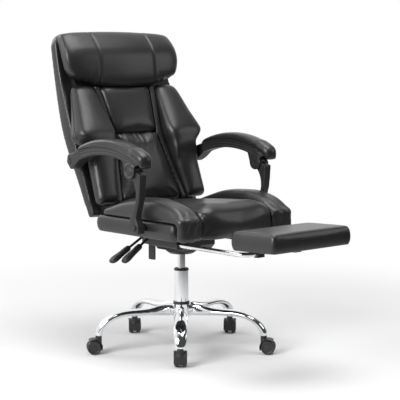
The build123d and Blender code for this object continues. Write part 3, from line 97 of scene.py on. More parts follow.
class Finish:
    """The nodes of one material, or of the studio's world."""

    def __init__(self, owner):
        owner.use_nodes = True
        self.owner = owner
        self.tree = owner.node_tree
        self.tree.nodes.clear()

    def node(self, kind, settings=None, sockets=None, out=0):
        """Adds a node: first its settings, then a value or a link for each socket."""
        made = self.tree.nodes.new(kind)
        for key, value in (settings or {}).items():
            setattr(made, key, value)
        for key, value in (sockets or {}).items():
            if isinstance(value, Strand):
                self.tree.links.new(value.socket, made.inputs[key])
            else:
                made.inputs[key].default_value = value
        return Strand(self, made.outputs[out]) if made.outputs else None

    def ray(self, kind):
        """1 for this kind of ray and 0 for any other."""
        return self.node("ShaderNodeLightPath", out=f"Is {kind} Ray")

    def fade(self, value, start, end):
        """0 up to start, 1 from end on, and smooth between."""
        given = {"Value": value, "From Min": start, "From Max": end}
        return self.node("ShaderNodeMapRange", {"interpolation_type": "SMOOTHSTEP"}, given)

    def blend(self, share, first, second):
        """One shader that turns into another."""
        return self.node("ShaderNodeMixShader", {}, {0: share, 1: first, 2: second})

    def place(self, stretch=(1.0, 1.0, 1.0)):
        """Where a point is on its piece."""
        spot = self.node("ShaderNodeTexCoord", out="Object")
        return self.node("ShaderNodeMapping", {}, {"Vector": spot, "Scale": stretch})

    def noise(self, scale, detail=3.0, roughness=0.5, stretch=(1.0, 1.0, 1.0)):
        where = self.place(stretch)
        given = {"Vector": where, "Scale": scale, "Detail": detail, "Roughness": roughness}
        return self.node("ShaderNodeTexNoise", {}, given)

    def between(self, share, dark, light):
        """A colour from dark to light. A Mix node's colours are its sockets 6 and 7, and come out at 2."""
        given = {0: share, 6: (*dark, 1.0), 7: (*light, 1.0)}
        return self.node("ShaderNodeMix", {"data_type": "RGBA"}, given, out=2)

    def bump(self, height, distance, strength):
        given = {"Height": height, "Distance": distance, "Strength": strength}
        return self.node("ShaderNodeBump", {}, given)

    def surface(self, **sockets):
        """Closes the finish with one shader, whose sockets are named with underscores."""
        given = {key.replace("_", " "): value for key, value in sockets.items()}
        shader = self.node("ShaderNodeBsdfPrincipled", {}, given)
        self.node("ShaderNodeOutputMaterial", {}, {"Surface": shader})


bpy.ops.mesh.primitive_grid_add(
    x_subdivisions=FLOOR_CELLS,
    y_subdivisions=FLOOR_CELLS,
    size=FLOOR_SIZE,
    location=(0, 0, -FLOOR_DROP),
)
floor = bpy.context.object
floor.name = "floor"
paper = Finish(bpy.data.materials.new("floor_paper"))
spot = paper.node("ShaderNodeTexCoord", out="Object")
reach = paper.node("ShaderNodeVectorMath", {"operation": "LENGTH"}, {0: spot}, out="Value")
far = paper.fade(reach, *FLOOR_FADE)
depth = paper.node("ShaderNodeSeparateXYZ", {}, {"Vector": spot}, out="Y")
behind = paper.fade(depth, *FLOOR_REAR)
mirrored = paper.ray("Glossy")
matt = paper.node("ShaderNodeBsdfDiffuse", {}, {"Color": FLOOR_GREY})
white = paper.node("ShaderNodeEmission", {}, {"Color": PURE_WHITE, "Strength": 1.0})
dim = paper.node("ShaderNodeBsdfDiffuse", {}, {"Color": ROOM_FLOOR})
bright = paper.blend(far * (paper.ray("Camera") + mirrored * behind), matt, white)
sheet = paper.blend(far * mirrored * (1 - behind), bright, dim)
paper.node("ShaderNodeOutputMaterial", {}, {"Surface": sheet})
floor.data.materials.append(paper.owner)

# Studio room: white where the camera sees it, and a soft even light on everything in it.
# Mirrored, its rear is white and its front dim, so chrome and leather keep their dark bands.
WORLD_LIGHT = 0.25
ROOM_SHADE = 0.07
BACKDROP_EDGE = (-0.25, 0.35)
room = Finish(bpy.data.worlds.new("studio_world"))
scene.world = room.owner
aim = room.node("ShaderNodeTexCoord", out="Generated")
depth = room.node("ShaderNodeSeparateXYZ", {}, {"Vector": aim}, out="Y")
wall = ROOM_SHADE + (1.0 - ROOM_SHADE) * room.fade(depth, *BACKDROP_EDGE)
soft = room.node("ShaderNodeBackground", {}, {"Color": PURE_WHITE, "Strength": WORLD_LIGHT})
shown = room.node("ShaderNodeBackground", {}, {"Color": PURE_WHITE, "Strength": wall})
plain = room.node("ShaderNodeBackground", {}, {"Color": PURE_WHITE, "Strength": 1.0})
bounced = room.blend(room.ray("Glossy"), soft, shown)
seen = room.blend(room.ray("Camera") + room.ray("Transmission"), bounced, plain)
room.node("ShaderNodeOutputWorld", {}, {"Surface": seen})

# Studio lamps: large soft boxes. The main one stands at the chair's right, and one hangs overhead.
# A weak one fills the left front, and one behind draws the edge of the back.
# Each has its place, its aim, its size across and its power.
LAMPS = (
    ((-3.0, -0.5, 2.0), (0.0, 0.0, 0.7), 1.7, 100),
    ((0.2, -0.5, 3.2), (0.0, 0.0, 0.5), 2.0, 62),
    ((2.4, -2.0, 1.8), (0.0, 0.0, 0.6), 1.3, 11),
    ((-0.8, 2.6, 2.2), (0.0, 0.0, 0.6), 1.8, 26),
)
for place, aim, size, power in LAMPS:
    bpy.ops.object.light_add(type="AREA", location=place)
    lamp = bpy.context.object
    lamp.data.size = size
    lamp.data.energy = power
    lamp.rotation_euler = (Vector(aim) - Vector(place)).to_track_quat("-Z", "Y").to_euler()

# Star base, column and piston: bent, drawn and welded steel, polished and chromed.
# The plating is almost a mirror, with a faint haze where it has been wiped.
chrome = Finish(bpy.data.materials.new("chrome_plate"))
haze = chrome.noise(scale=14.0, detail=4.0, roughness=0.6)
wipes = chrome.noise(scale=90.0, detail=2.0, stretch=(1.0, 1.0, 0.08))
chrome.surface(
    Base_Color=chrome.between(haze, (0.74, 0.75, 0.77), (0.86, 0.87, 0.88)),
    Metallic=1.0,
    Roughness=0.05 + 0.05 * haze + 0.03 * wipes,
)


def finish_nodes(finish, *names):
    """Gives solids that keep their own shape their finish."""
    for name in names:
        solid = nodes[name]
        solid.data.materials.clear()
        solid.data.materials.append(finish.owner)


finish_nodes(chrome, "base_star", "column_tube", "gas_cylinder", "piston_rod")

# Guide bushing and hub collar: moulded black plastic with a fine spark-eroded texture.
# The collar is a thick ring that sits in the joint between the hub and the column.
COLLAR_STRETCH = 2.2
WELD = 1e-5
SMOOTHING = 0.5
plastic = Finish(bpy.data.materials.new("black_plastic"))
grit = plastic.noise(scale=1400.0, detail=2.0, roughness=0.6)
cloud = plastic.noise(scale=11.0)
plastic.surface(
    Base_Color=plastic.between(cloud, (0.012, 0.012, 0.013), (0.021, 0.021, 0.022)),
    Roughness=0.36 + 0.14 * cloud + 0.08 * grit,
    Normal=plastic.bump(grit, distance=0.0002, strength=0.5),
)
finish_nodes(plastic, "column_bushing")


def points_of(piece):
    """A piece's vertices and their normals, one row each."""
    count = len(piece.data.vertices)
    spots = np.zeros(count * 3)
    normals = np.zeros(count * 3, np.float32)
    piece.data.vertices.foreach_get("co", spots)
    piece.data.vertices.foreach_get("normal", normals)
    return spots.reshape(-1, 3), normals.reshape(-1, 3).astype(float)


def move_points(piece, spots):
    piece.data.vertices.foreach_set("co", spots.ravel())
    piece.data.update()


def press(piece, depth):
    """Sinks each point of a piece along its normal, by one depth or by a depth of its own."""
    spots, normals = points_of(piece)
    sunk = depth(spots) if callable(depth) else np.full(len(spots), depth)
    move_points(piece, spots - sunk[:, None] * normals)


def pick(piece):
    """Makes one piece the only one that operators act on."""
    bpy.ops.object.select_all(action="DESELECT")
    bpy.context.view_layer.objects.active = piece
    piece.select_set(True)


def apply(piece, kind, **settings):
    """Adds one modifier to a piece and applies it."""
    pick(piece)
    bpy.ops.object.modifier_add(type=kind)
    tool = piece.modifiers[-1]
    for key, value in settings.items():
        setattr(tool, key, value)
    bpy.ops.object.modifier_apply(modifier=tool.name)


def cover(name, *parts, voxel=0.006, bridge=0.0, swell=0.0, relax=4):
    """The outside of one solid, or of several sewn in a row, as one even mesh with soft edges.

    bridge closes the creases between solids, and swell lets the cover stand out from them."""
    bpy.ops.object.select_all(action="DESELECT")
    for part in parts:
        piece = bpy.data.objects.new(name, nodes[part].data.copy())
        scene.collection.objects.link(piece)
        piece.select_set(True)
        bpy.context.view_layer.objects.active = piece
    if len(parts) > 1:
        bpy.ops.object.join()
    piece = bpy.context.view_layer.objects.active
    piece.name = name
    piece.data.materials.clear()
    bpy.ops.object.mode_set(mode="EDIT")
    bpy.ops.mesh.select_all(action="SELECT")
    bpy.ops.mesh.remove_doubles(threshold=WELD)
    bpy.ops.object.mode_set(mode="OBJECT")
    press(piece, -bridge)
    apply(piece, "REMESH", mode="VOXEL", voxel_size=voxel, adaptivity=0.0)
    bpy.ops.object.mode_set(mode="EDIT")
    bpy.ops.mesh.select_all(action="SELECT")
    bpy.ops.mesh.vertices_smooth(factor=SMOOTHING, repeat=relax)
    bpy.ops.object.mode_set(mode="OBJECT")
    press(piece, bridge - swell)
    return piece


def fit(piece, finish, slot, body, *replaced):
    """Last steps of a piece: shading, finish, the body that carries it and the solids it stands for."""
    pick(piece)
    bpy.ops.object.shade_smooth()
    piece.data.materials.clear()
    piece.data.materials.append(finish.owner)
    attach(piece, body)
    if replaced:
        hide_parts(*replaced)


collar = cover("hub_collar_ring", "hub_collar", voxel=0.001, relax=3)
collar_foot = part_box("hub_collar")[0][2]
spots, normals = points_of(collar)
spots[:, 2] = collar_foot + COLLAR_STRETCH * (spots[:, 2] - collar_foot)
move_points(collar, spots)
fit(collar, plastic, "black_plastic", "base", "hub_collar")

# Casters: twin wheels with well-rounded rims under a moulded hood, pushed into the leg ends.
# The wheels are nylon, a little worn and dusty in patches.
CASTERS = range(1, 6)
CASTER_VOXEL = 0.0014
nylon = Finish(bpy.data.materials.new("wheel_nylon"))
scuff = nylon.noise(scale=160.0, detail=4.0, roughness=0.7)
wear = nylon.noise(scale=22.0)
nylon.surface(
    Base_Color=nylon.between(scuff * wear, (0.013, 0.013, 0.014), (0.05, 0.05, 0.05)),
    Roughness=0.33 + 0.3 * scuff,
    Normal=nylon.bump(scuff, distance=0.0003, strength=0.4),
)
for i in CASTERS:
    hood = cover(f"caster_{i}_hood_shell", f"caster_{i}_hood", voxel=CASTER_VOXEL, relax=5)
    fit(hood, plastic, "black_plastic", f"caster_{i}", f"caster_{i}_hood")
    wheels = cover(f"caster_{i}_wheel_pair", f"caster_{i}_wheels", voxel=CASTER_VOXEL, relax=10)
    fit(wheels, nylon, "wheel_plastic", f"wheels_{i}", f"caster_{i}_wheels")

# Pins, clip and bearing: turned and stamped steel with a bright zinc plating.
# They sit in their bores, on the column, in the mechanism and in the casters.
zinc = Finish(bpy.data.materials.new("bright_zinc"))
brush = zinc.noise(scale=260.0, roughness=0.6, stretch=(1.0, 0.1, 1.0))
zinc.surface(
    Base_Color=zinc.between(brush, (0.42, 0.43, 0.45), (0.6, 0.61, 0.62)),
    Metallic=1.0,
    Roughness=0.24 + 0.2 * brush,
)
finish_nodes(zinc, "pivot_pins", "valve_pin", "thrust_bearing", "retaining_clip")
finish_nodes(zinc, *[f"caster_{i}_pins" for i in CASTERS])

# Mechanism, seat plate, levers, bolts and back bars: pressed steel, bolted under the seat.
# The black powder coat has a slight orange peel and is rubbed a little in patches.
coat = Finish(bpy.data.materials.new("black_coat"))
peel = coat.noise(scale=420.0, detail=2.0)
rub = coat.noise(scale=35.0, detail=4.0, roughness=0.6)
coat.surface(
    Base_Color=coat.between(rub, (0.011, 0.011, 0.012), (0.024, 0.024, 0.025)),
    Roughness=0.3 + 0.16 * rub,
    Normal=coat.bump(peel, distance=0.0004, strength=0.35),
)
finish_nodes(coat, "mechanism_housing", "seat_plate", "seat_bolts", "back_bars")
finish_nodes(coat, "recline_lever", "height_lever", "arm_pivot_bolts", "arm_pin_left", "arm_pin_right")

# Lever grips and lock tab: moulded black plastic.
# The grips are fat paddles pushed over the lever ends, and the tab hangs from the housing.
GRIP_SWELL = 0.003
for lever in ("recline_lever", "height_lever"):
    grip = cover(f"{lever}_handle", f"{lever}_grip", voxel=0.0016, swell=GRIP_SWELL, relax=6)
    fit(grip, plastic, "black_plastic", lever, f"{lever}_grip")
finish_nodes(plastic, "lock_tab")

# Seat board: plywood with black lining cloth stapled over it.
# The cloth is a plain weave, seen only from below.
WEAVE = 380.0
lining = Finish(bpy.data.materials.new("lining_cloth"))
warp, weft = [
    lining.node("ShaderNodeTexWave", {"bands_direction": run}, {"Vector": lining.place(), "Scale": WEAVE})
    for run in "XY"
]
fluff = lining.noise(scale=60.0, roughness=0.6)
lining.surface(
    Base_Color=lining.between(fluff, (0.008, 0.008, 0.009), (0.02, 0.02, 0.021)),
    Roughness=0.8 + 0.15 * fluff,
    Normal=lining.bump(warp * weft, distance=0.0004, strength=0.5),
)
finish_nodes(lining, "seat_board")

# Seat plinth: a foam-wrapped band round the seat board, covered tight in black synthetic leather.
# The leather is a coated knit with an embossed pebble grain, and every cushion has the same.
# Soft creases and handling leave it a little glossier in places.
leather = Finish(bpy.data.materials.new("black_leather"))
pebble = leather.node("ShaderNodeTexVoronoi", {}, {"Vector": leather.place(), "Scale": 620.0})
pores = leather.noise(scale=950.0, detail=2.0, roughness=0.6)
crease = leather.noise(scale=46.0, detail=5.0, roughness=0.62)
handled = leather.noise(scale=7.0, detail=2.0)
leather.surface(
    Base_Color=leather.between(handled, (0.0075, 0.0075, 0.0082), (0.0135, 0.0135, 0.0142)),
    Roughness=0.3 + 0.13 * handled + 0.09 * pebble,
    Coat_Weight=0.1 + 0.25 * handled,
    Coat_Roughness=0.2,
    Normal=leather.bump(pebble * 0.7 + pores * 0.3 + crease * 1.6, distance=0.0006, strength=0.36),
)


def dress(piece, body, *replaced, fill):
    """Last steps of a cushion, which is leather over padding."""
    fit(piece, leather, "leather", body, *replaced)


plinth = cover("seat_plinth_cover", "seat_plinth", relax=3)
dress(plinth, "seat", "seat_plinth", fill=0.9)

# Seat cushion: the sat-on middle, a thick foam block that rolls over the seat's front.
# Its leather cover is sewn to the side bolsters, and the sewing gathers it along both edges.
PLINTH_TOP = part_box("seat_plinth")[1][2]
PLINTH_FRONT = -0.262
CUSHION_GRIP = PLINTH_TOP + 0.006
CUSHION_TAIL = 0.125
CUSHION_HEM = 0.432
CUSHION_SOFT = (PLINTH_TOP - 0.02, PLINTH_TOP)
SEAT_SWELL = 0.0015
SEAT_PRESSURE = 2.5
SEAT_CAP = 0.006
SOFT_STEPS = 8
CLOTH_FRAMES = 18
CLOTH = {
    "quality": 4,
    "mass": 0.25,
    "tension_stiffness": 14,
    "compression_stiffness": 14,
    "shear_stiffness": 6,
    "bending_stiffness": 5.0,
    "use_pressure": True,
    "vertex_group_mass": "held",
}
STILL = 1e-9


def ramp(value, start, end):
    """Smooth step: 0 at start, 1 at end."""
    t = np.clip((value - start) / (end - start), 0.0, 1.0)
    return t * t * (3 - 2 * t)


def hump(value, middle, width):
    """Bell curve: 1 in the middle, fading to both sides."""
    return np.exp(-(((value - middle) / width) ** 2))


def weigh(piece, name, share):
    """Adds a vertex group with each point's share, from 0 to 1."""
    group = piece.vertex_groups.new(name=name)
    for level in np.unique(share[share > 0]):
        group.add(np.flatnonzero(share == level).tolist(), float(level), "REPLACE")


def stuff(piece, held, pressure, cap):
    """Fills a cover: air pressure swells the cloth between the places where it is held.

    No point goes further than cap."""
    start, normals = points_of(piece)
    weigh(piece, "held", held(start))
    pick(piece)
    bpy.ops.object.modifier_add(type="CLOTH")
    cloth = piece.modifiers[-1]
    for key, value in CLOTH.items():
        setattr(cloth.settings, key, value)
    cloth.settings.uniform_pressure_force = pressure
    cloth.settings.effector_weights.gravity = 0
    cloth.collision_settings.use_collision = False
    for step in range(1, CLOTH_FRAMES + 1):
        scene.frame_set(step)
    bpy.ops.object.modifier_apply(modifier=cloth.name)
    scene.frame_set(1)
    piece.vertex_groups.clear()
    spots, normals = points_of(piece)
    shift = spots - start
    length = np.maximum(np.linalg.norm(shift, axis=1, keepdims=True), STILL)
    move_points(piece, start + shift * (cap * np.tanh(length / cap) / length))


def soften(piece, share, repeat):
    """Rounds a piece where share, from 0 to 1 at each point, says so."""
    spots, normals = points_of(piece)
    weigh(piece, "soft", np.round(share(spots) * SOFT_STEPS) / SOFT_STEPS)
    apply(piece, "SMOOTH", factor=SMOOTHING, iterations=repeat, vertex_group="soft")
    piece.vertex_groups.clear()


def cushion_held(p):
    x, y, z = p.T
    return (z < CUSHION_GRIP) & (y > PLINTH_FRONT) | (y > CUSHION_TAIL) | (z < CUSHION_HEM)


cushion = cover("seat_cushion_cover", "seat_cushion", swell=SEAT_SWELL)
stuff(cushion, cushion_held, SEAT_PRESSURE, SEAT_CAP)
soften(cushion, lambda p: ramp(p[:, 2], *CUSHION_SOFT), repeat=30)

# Gathers of the cushion: puckers along both sewn edges, and one soft fold across the front.
# They are pressed in after the filling, and sway as gathers in leather do.
CUSHION_EDGE = 0.158
PUCKER_DEPTH = 0.0017
PUCKER_WIDTH = 0.022
PUCKER_RATE = 330
PUCKER_SWAY = (9, 40)
PUCKER_FRONT = (-0.235, 0.06)
PUCKER_LOWEST = 0.5
FOLD_DEPTH = 0.0012
FOLD_LINE = (0.505, 0.011)
FOLD_SWAY = (0.6, 0.4, 13)


def cushion_folds(p):
    x, y, z = p.T
    sway = PUCKER_SWAY[0] * np.sin(x * PUCKER_SWAY[1])
    puckers = hump(np.abs(x), CUSHION_EDGE, PUCKER_WIDTH) * np.sin(y * PUCKER_RATE + sway)
    puckers *= hump(y, *PUCKER_FRONT) * (z > PUCKER_LOWEST)
    fold = hump(z, *FOLD_LINE) * (y < PLINTH_FRONT)
    fold *= FOLD_SWAY[0] + FOLD_SWAY[1] * np.sin(x * FOLD_SWAY[2])
    return PUCKER_DEPTH * puckers + FOLD_DEPTH * fold


press(cushion, cushion_folds)
BOLSTER_LAP = 0.004
LAP_RUN = (-0.17, -0.24)
CUSHION_LAP = (0.07, 0.15)
SEAT_NOSE = 0.01
NOSE_RUN = (-0.14, -0.24)


def pull_front(spots, lap_side):
    """Pulls the front of a seat cover forwards, and its seam inwards over the lap."""
    x, y, z = spots.T
    lap = BOLSTER_LAP * ramp(y, *LAP_RUN) * ramp(np.abs(x), *lap_side) * np.sign(x)
    nose = SEAT_NOSE * ramp(y, *NOSE_RUN)
    return np.column_stack((x - lap, y - nose, z))


spots, normals = points_of(cushion)
move_points(cushion, pull_front(spots, CUSHION_LAP))
dress(cushion, "seat", "seat_cushion", fill=0.75)

# Side bolsters: firm foam tongues that thin towards the back and wrap the front corners.
# The leather is pulled round the corner, so it lies in upright folds there.
BOLSTER_GRIP = PLINTH_TOP + 0.007
BOLSTER_TAIL = 0.1
BOLSTER_HEM = 0.436
BOLSTER_LAP_SIDE = (0.235, 0.165)
CORNER_DEPTH = 0.0014
CORNER_LINE = (-0.22, 0.012)
CORNER_RATES = (190, 26)
CORNER_SWAY = (3, 38)
CROWN_RISE = (PLINTH_TOP + 0.01, PLINTH_TOP + 0.04)
BROW_HEIGHT = 0.006
BROW_LINE = (-0.02, 0.07)
BROW_FALL = 0.008
BROW_FRONT = (-0.1, -0.2)


def bolsters_held(p):
    x, y, z = p.T
    return (z < BOLSTER_GRIP) & (y > PLINTH_FRONT) | (y > BOLSTER_TAIL) | (z < BOLSTER_HEM)


def bolster_folds(p):
    x, y, z = p.T
    corner = 1 / (1 + np.exp((y - CORNER_LINE[0]) / CORNER_LINE[1]))
    sway = CORNER_SWAY[0] * np.sin(z * CORNER_SWAY[1])
    wave = np.sin(np.abs(x) * CORNER_RATES[0] + z * CORNER_RATES[1] + sway)
    return CORNER_DEPTH * corner * wave


bolsters = cover("seat_bolsters_cover", "seat_bolsters", swell=SEAT_SWELL)
stuff(bolsters, bolsters_held, SEAT_PRESSURE, SEAT_CAP)
press(bolsters, bolster_folds)
spots, normals = points_of(bolsters)
x, y, z = spots.T
brow = BROW_HEIGHT * hump(y, *BROW_LINE) - BROW_FALL * ramp(y, *BROW_FRONT)
brow *= ramp(z, *CROWN_RISE)
spots = pull_front(spots, BOLSTER_LAP_SIDE)
spots[:, 2] += brow
move_points(bolsters, spots)
dress(bolsters, "seat", "seat_bolsters", fill=0.75)

# Back shell and core board: the outer panel of the back, foam over a board, covered tight in leather.
# Its flanks bulge at the waist, its rear is a little hollow, and its front edge stands up as a lip.
BACK_FOOT = np.array((0.0, 0.216, 0.468))
LEAN = math.radians(21.5)
UP_BACK = np.array((0.0, math.sin(LEAN), math.cos(LEAN)))
OUT_BACK = np.array((0.0, -math.cos(LEAN), math.sin(LEAN)))
CORE_FRONT = 0.058
SHELL_CORNER_RISE = (0.05, 0.02)
SHELL_CORNER_SIDE = (0.19, 0.22)
SHELL_WAIST = (0.3, 0.17)
SHELL_BULGE = 0.017
SHELL_FLANK = (0.13, 0.2)
SHELL_HOLLOW = 0.007
SHELL_REAR = (0.02 - CORE_FRONT, -CORE_FRONT)
SHELL_LIP = (0.008, 0.016)
LIP_FACING = (0.1, 0.6)
LIP_SIDE = (0.17, 0.2)


def on_back(p):
    """Places on the back: across, up from the shell's foot, and out from the core board."""
    reach = p - BACK_FOOT
    return p[:, 0], reach @ UP_BACK, reach @ OUT_BACK - CORE_FRONT


def shell_corners(p):
    x, v, w = on_back(p)
    return ramp(v, *SHELL_CORNER_RISE) * ramp(np.abs(x), *SHELL_CORNER_SIDE)


finish_nodes(leather, "back_board")
shell = cover("back_shell_cover", "back_shell", relax=3)
soften(shell, shell_corners, repeat=22)
spots, normals = points_of(shell)
x, v, w = on_back(spots)
waist = hump(v, *SHELL_WAIST)
flank = SHELL_BULGE * waist * ramp(np.abs(x), *SHELL_FLANK) * np.sign(x)
lip = ramp(normals @ OUT_BACK, *LIP_FACING) * ramp(np.abs(x), *LIP_SIDE)
lip *= SHELL_LIP[0] + SHELL_LIP[1] * waist
hollow = SHELL_HOLLOW * waist * ramp(w, *SHELL_REAR)
spots[:, 0] += flank
move_points(shell, spots + (lip - hollow)[:, None] * OUT_BACK)
dress(shell, "back", "back_shell", fill=0.9)

# Upper middle panel: a puffed leather panel between two welts, glued to the core board.
# Its upper end reaches up under the pillow.
PAD_VOXEL = 0.005
PAD_SWELL = 0.002
PAD_GRIP = 0.006
PAD_PRESSURE = 3.5
PAD_CAP = 0.007
PAD_FACE = (0.012, 0.022)
HEAD_ROOM = 0.013
HEAD_RUN = (0.33, 0.44)


def pad_held(p):
    x, v, w = on_back(p)
    return w < PAD_GRIP


def head_room(v):
    """How far a pad is drawn up, by its place on the back."""
    return (HEAD_ROOM * ramp(v, *HEAD_RUN))[:, None] * UP_BACK


upper = cover("back_upper_cover", "back_panel_upper", voxel=PAD_VOXEL, swell=PAD_SWELL)
stuff(upper, pad_held, PAD_PRESSURE, PAD_CAP)
soften(upper, lambda p: ramp(on_back(p)[2], *PAD_FACE), repeat=30)
spots, normals = points_of(upper)
x, v, w = on_back(spots)
move_points(upper, spots + head_room(v))
dress(upper, "back", "back_panel_upper", fill=0.8)

# Lower middle panel: a puffed leather panel, sewn to the upper one and glued to the core board.
# The seam between them draws it into short upright wrinkles.
PANEL_SEAM = 0.274
WRINKLE_DEPTH = 0.002
WRINKLE_REACH = 0.03
WRINKLE_RATE = 190
WRINKLE_SWAY = (2.0, 71)
WRINKLE_START = 1.3


def seam_wrinkles(p):
    x, v, w = on_back(p)
    fall = np.exp(-(PANEL_SEAM - v) / WRINKLE_REACH) * (w > PAD_FACE[0])
    sway = WRINKLE_SWAY[0] * np.sin(x * WRINKLE_SWAY[1])
    return WRINKLE_DEPTH * fall * np.sin(x * WRINKLE_RATE + sway + WRINKLE_START)


lower = cover("back_lower_cover", "back_panel_lower", voxel=PAD_VOXEL, swell=PAD_SWELL)
stuff(lower, pad_held, PAD_PRESSURE, PAD_CAP)
press(lower, seam_wrinkles)
dress(lower, "back", "back_panel_lower", fill=0.8)

# Welts: flat leather strips that frame the middle panels.
# They are folded over a thin foam core and sewn in along both edges.
WELT_RISE = 0.011
WELT_FACE = (0.0, 0.006)
welts = cover("back_welts_cover", "back_welts", voxel=0.0035, swell=0.001, relax=5)
spots, normals = points_of(welts)
x, v, w = on_back(spots)
rise = (WELT_RISE * ramp(w, *WELT_FACE))[:, None] * OUT_BACK
move_points(welts, spots + head_room(v) + rise)
dress(welts, "back", "back_welts", fill=0.9)

# Wings and side pads: fat leather pads that hug the sitter, glued to the core board.
# Wing and side pad are sewn together along one soft crease, which puckers a little.
WING_BRIDGE = 0.016
CREASE_DEPTH = 0.0018
CREASE_LINE = (0.2, 0.026)
CREASE_FACE = 0.02
CREASE_RATES = (230, 60)
WING_FACING = (0.15, 0.55)
WING_THICK = (0.25, 0.285)
WING_BLEND = 0.01
FAIR_ACROSS = np.linspace(0.1, 0.29, 20)
FAIR_BAND = 0.008
FAIR_RUN = (0.05, 0.24)
WAIST_LINE = (0.212, 0.04)
WAIST_INNER = (0.247, 0.222)
WAIST_FACE = 0.01
WING_RISE = (0.2, 0.23)
WING_FACE = (0.008, 0.018)
WING_SPREAD = (0.015, 0.023)
SPREAD_SIDE = (0.13, 0.21)
SPREAD_RISE = (0.215, 0.245)
SPREAD_RUN = (0.25, 0.41)
WING_BELLY = 0.006
BELLY_RISE = (0.225, 0.275)
BELLY_FACE = (0.01, 0.03)
WING_FOOT = (0.235, 0.035)
FOOT_FACE = (0.01, 0.02)


def side_folds(p):
    x, v, w = on_back(p)
    fall = hump(v, *CREASE_LINE) * (w > CREASE_FACE)
    return CREASE_DEPTH * fall * np.sin(v * CREASE_RATES[0] + np.abs(x) * CREASE_RATES[1])


def side_waist(p):
    """The front of the waist between wing and side pad, short of its outer notch."""
    x, v, w = on_back(p)
    return ramp(np.abs(x), *WAIST_INNER) * hump(v, *WAIST_LINE) * (w > WAIST_FACE)


def wing_face(p):
    x, v, w = on_back(p)
    return ramp(v, *WING_RISE) * ramp(w, *WING_FACE)


def wing_foot(p):
    x, v, w = on_back(p)
    return hump(v, *WING_FOOT) * ramp(w, *FOOT_FACE)


sides = cover(
    "back_sides_cover", "back_wings", "back_sides", voxel=PAD_VOXEL, bridge=WING_BRIDGE, swell=PAD_SWELL
)
stuff(sides, pad_held, PAD_PRESSURE, PAD_CAP)
press(sides, side_folds)
spots, normals = points_of(sides)
x, v, w = on_back(spots)
facing = ramp(normals @ OUT_BACK, *WING_FACING)
thick = (facing > 0.5) & (v > WING_THICK[0]) & (v < WING_THICK[1])
crest = [w[thick & (np.abs(np.abs(x) - at) < FAIR_BAND)].max(initial=0.0) for at in FAIR_ACROSS]
fair = np.interp(np.abs(x), FAIR_ACROSS, crest) * ramp(v, *FAIR_RUN)
lift = np.maximum(fair - w, 0) * facing * (v < WING_THICK[0] + WING_BLEND)
move_points(sides, spots + lift[:, None] * OUT_BACK)
soften(sides, side_waist, repeat=70)
soften(sides, wing_face, repeat=110)
spots, normals = points_of(sides)
x, v, w = on_back(spots)
spread = WING_SPREAD[0] + (WING_SPREAD[1] - WING_SPREAD[0]) * ramp(v, *SPREAD_RUN)
spread *= ramp(np.abs(x), *SPREAD_SIDE) * ramp(v, *SPREAD_RISE)
belly = WING_BELLY * ramp(v, *BELLY_RISE) * ramp(w, *BELLY_FACE)
spots[:, 0] += np.sign(x) * spread
move_points(sides, spots + belly[:, None] * OUT_BACK + head_room(v))
soften(sides, wing_foot, repeat=30)
dress(sides, "back", "back_wings", "back_sides", fill=0.85)

# Piping: a thin bead of rolled leather, sewn into the wings' outer edge.
# It is laid on the wing's skin through a few points, given across, up and out.
PIPING_R = 0.0028
PIPING_ROUND = 3
WING_EDGE = (
    (0.26, 0.436, 0.012),
    (0.28, 0.405, 0.016),
    (0.3, 0.365, 0.02),
    (0.31, 0.325, 0.025),
    (0.32, 0.29, 0.028),
    (0.325, 0.262, 0.03),
    (0.3, 0.24, 0.028),
)
SIDES = {"left": 1, "right": -1}


def back_spot(x, v, w):
    """The point that lies across, up and out on the back by these."""
    return Vector(BACK_FOOT + np.array((x, 0.0, 0.0)) + v * UP_BACK + (CORE_FRONT + w) * OUT_BACK)


for side, mark in SIDES.items():
    bpy.ops.object.select_all(action="DESELECT")
    bpy.ops.curve.primitive_nurbs_path_add()
    bead = bpy.context.object
    bead.name = f"wing_piping_{side}"
    spline = bead.data.splines[0]
    spline.points.add(len(WING_EDGE) - len(spline.points))
    for knot, (x, v, w) in zip(spline.points, WING_EDGE):
        found, spot, normal, face = sides.closest_point_on_mesh(back_spot(mark * x, v, w))
        knot.co = (*spot, 1.0)
    spline.order_u = 3
    spline.use_endpoint_u = True
    bead.data.bevel_depth = PIPING_R
    bead.data.bevel_resolution = PIPING_ROUND
    bead.data.use_fill_caps = True
    bpy.ops.object.convert(target="MESH")
    fit(bead, leather, "leather", "back")

# Head pillow: a fat leather roll in three panels, drawn in along two upright seams.
# It is sewn to the top of the back, and its lower edge hangs a little over the panel below.
PILLOW_SEAM = 0.124
PILLOW_SEAM_GRIP = 0.004
PILLOW_REAR = 0.007
PILLOW_PRESSURE = 2.5
PILLOW_CAP = 0.007
PILLOW_LOW = (0.5, 0.45)
PILLOW_DROOP = 0.002
DROOP_FACE = (0.012, 0.032)
DROOP_SIDE = (0.22, 0.07)
PILLOW_LIFT = 0.012
LIFT_SIDE = (0.11, 0.2)
PILLOW_FULL = 0.009
FULL_LINE = (0.575, 0.06)
FULL_FACE = (0.01, 0.04)
PILLOW_ENDS = 0.0108
ENDS_SIDE = (0.15, 0.22)
ENDS_LINE = (0.53, 0.07)
ENDS_FACE = (0.02, 0.05)
PILLOW_TUCK = 0.01
TUCK_SIDE = (0.18, 0.24)
TUCK_FACE = (0.05, 0.0)
SEAM_DEPTH = 0.0035
SEAM_WIDTH = 0.0035
GATHER_DEPTH = 0.001
GATHER_LINE = (0.462, 0.03)
GATHER_FACE = 0.012
GATHER_RATES = (190, 60)


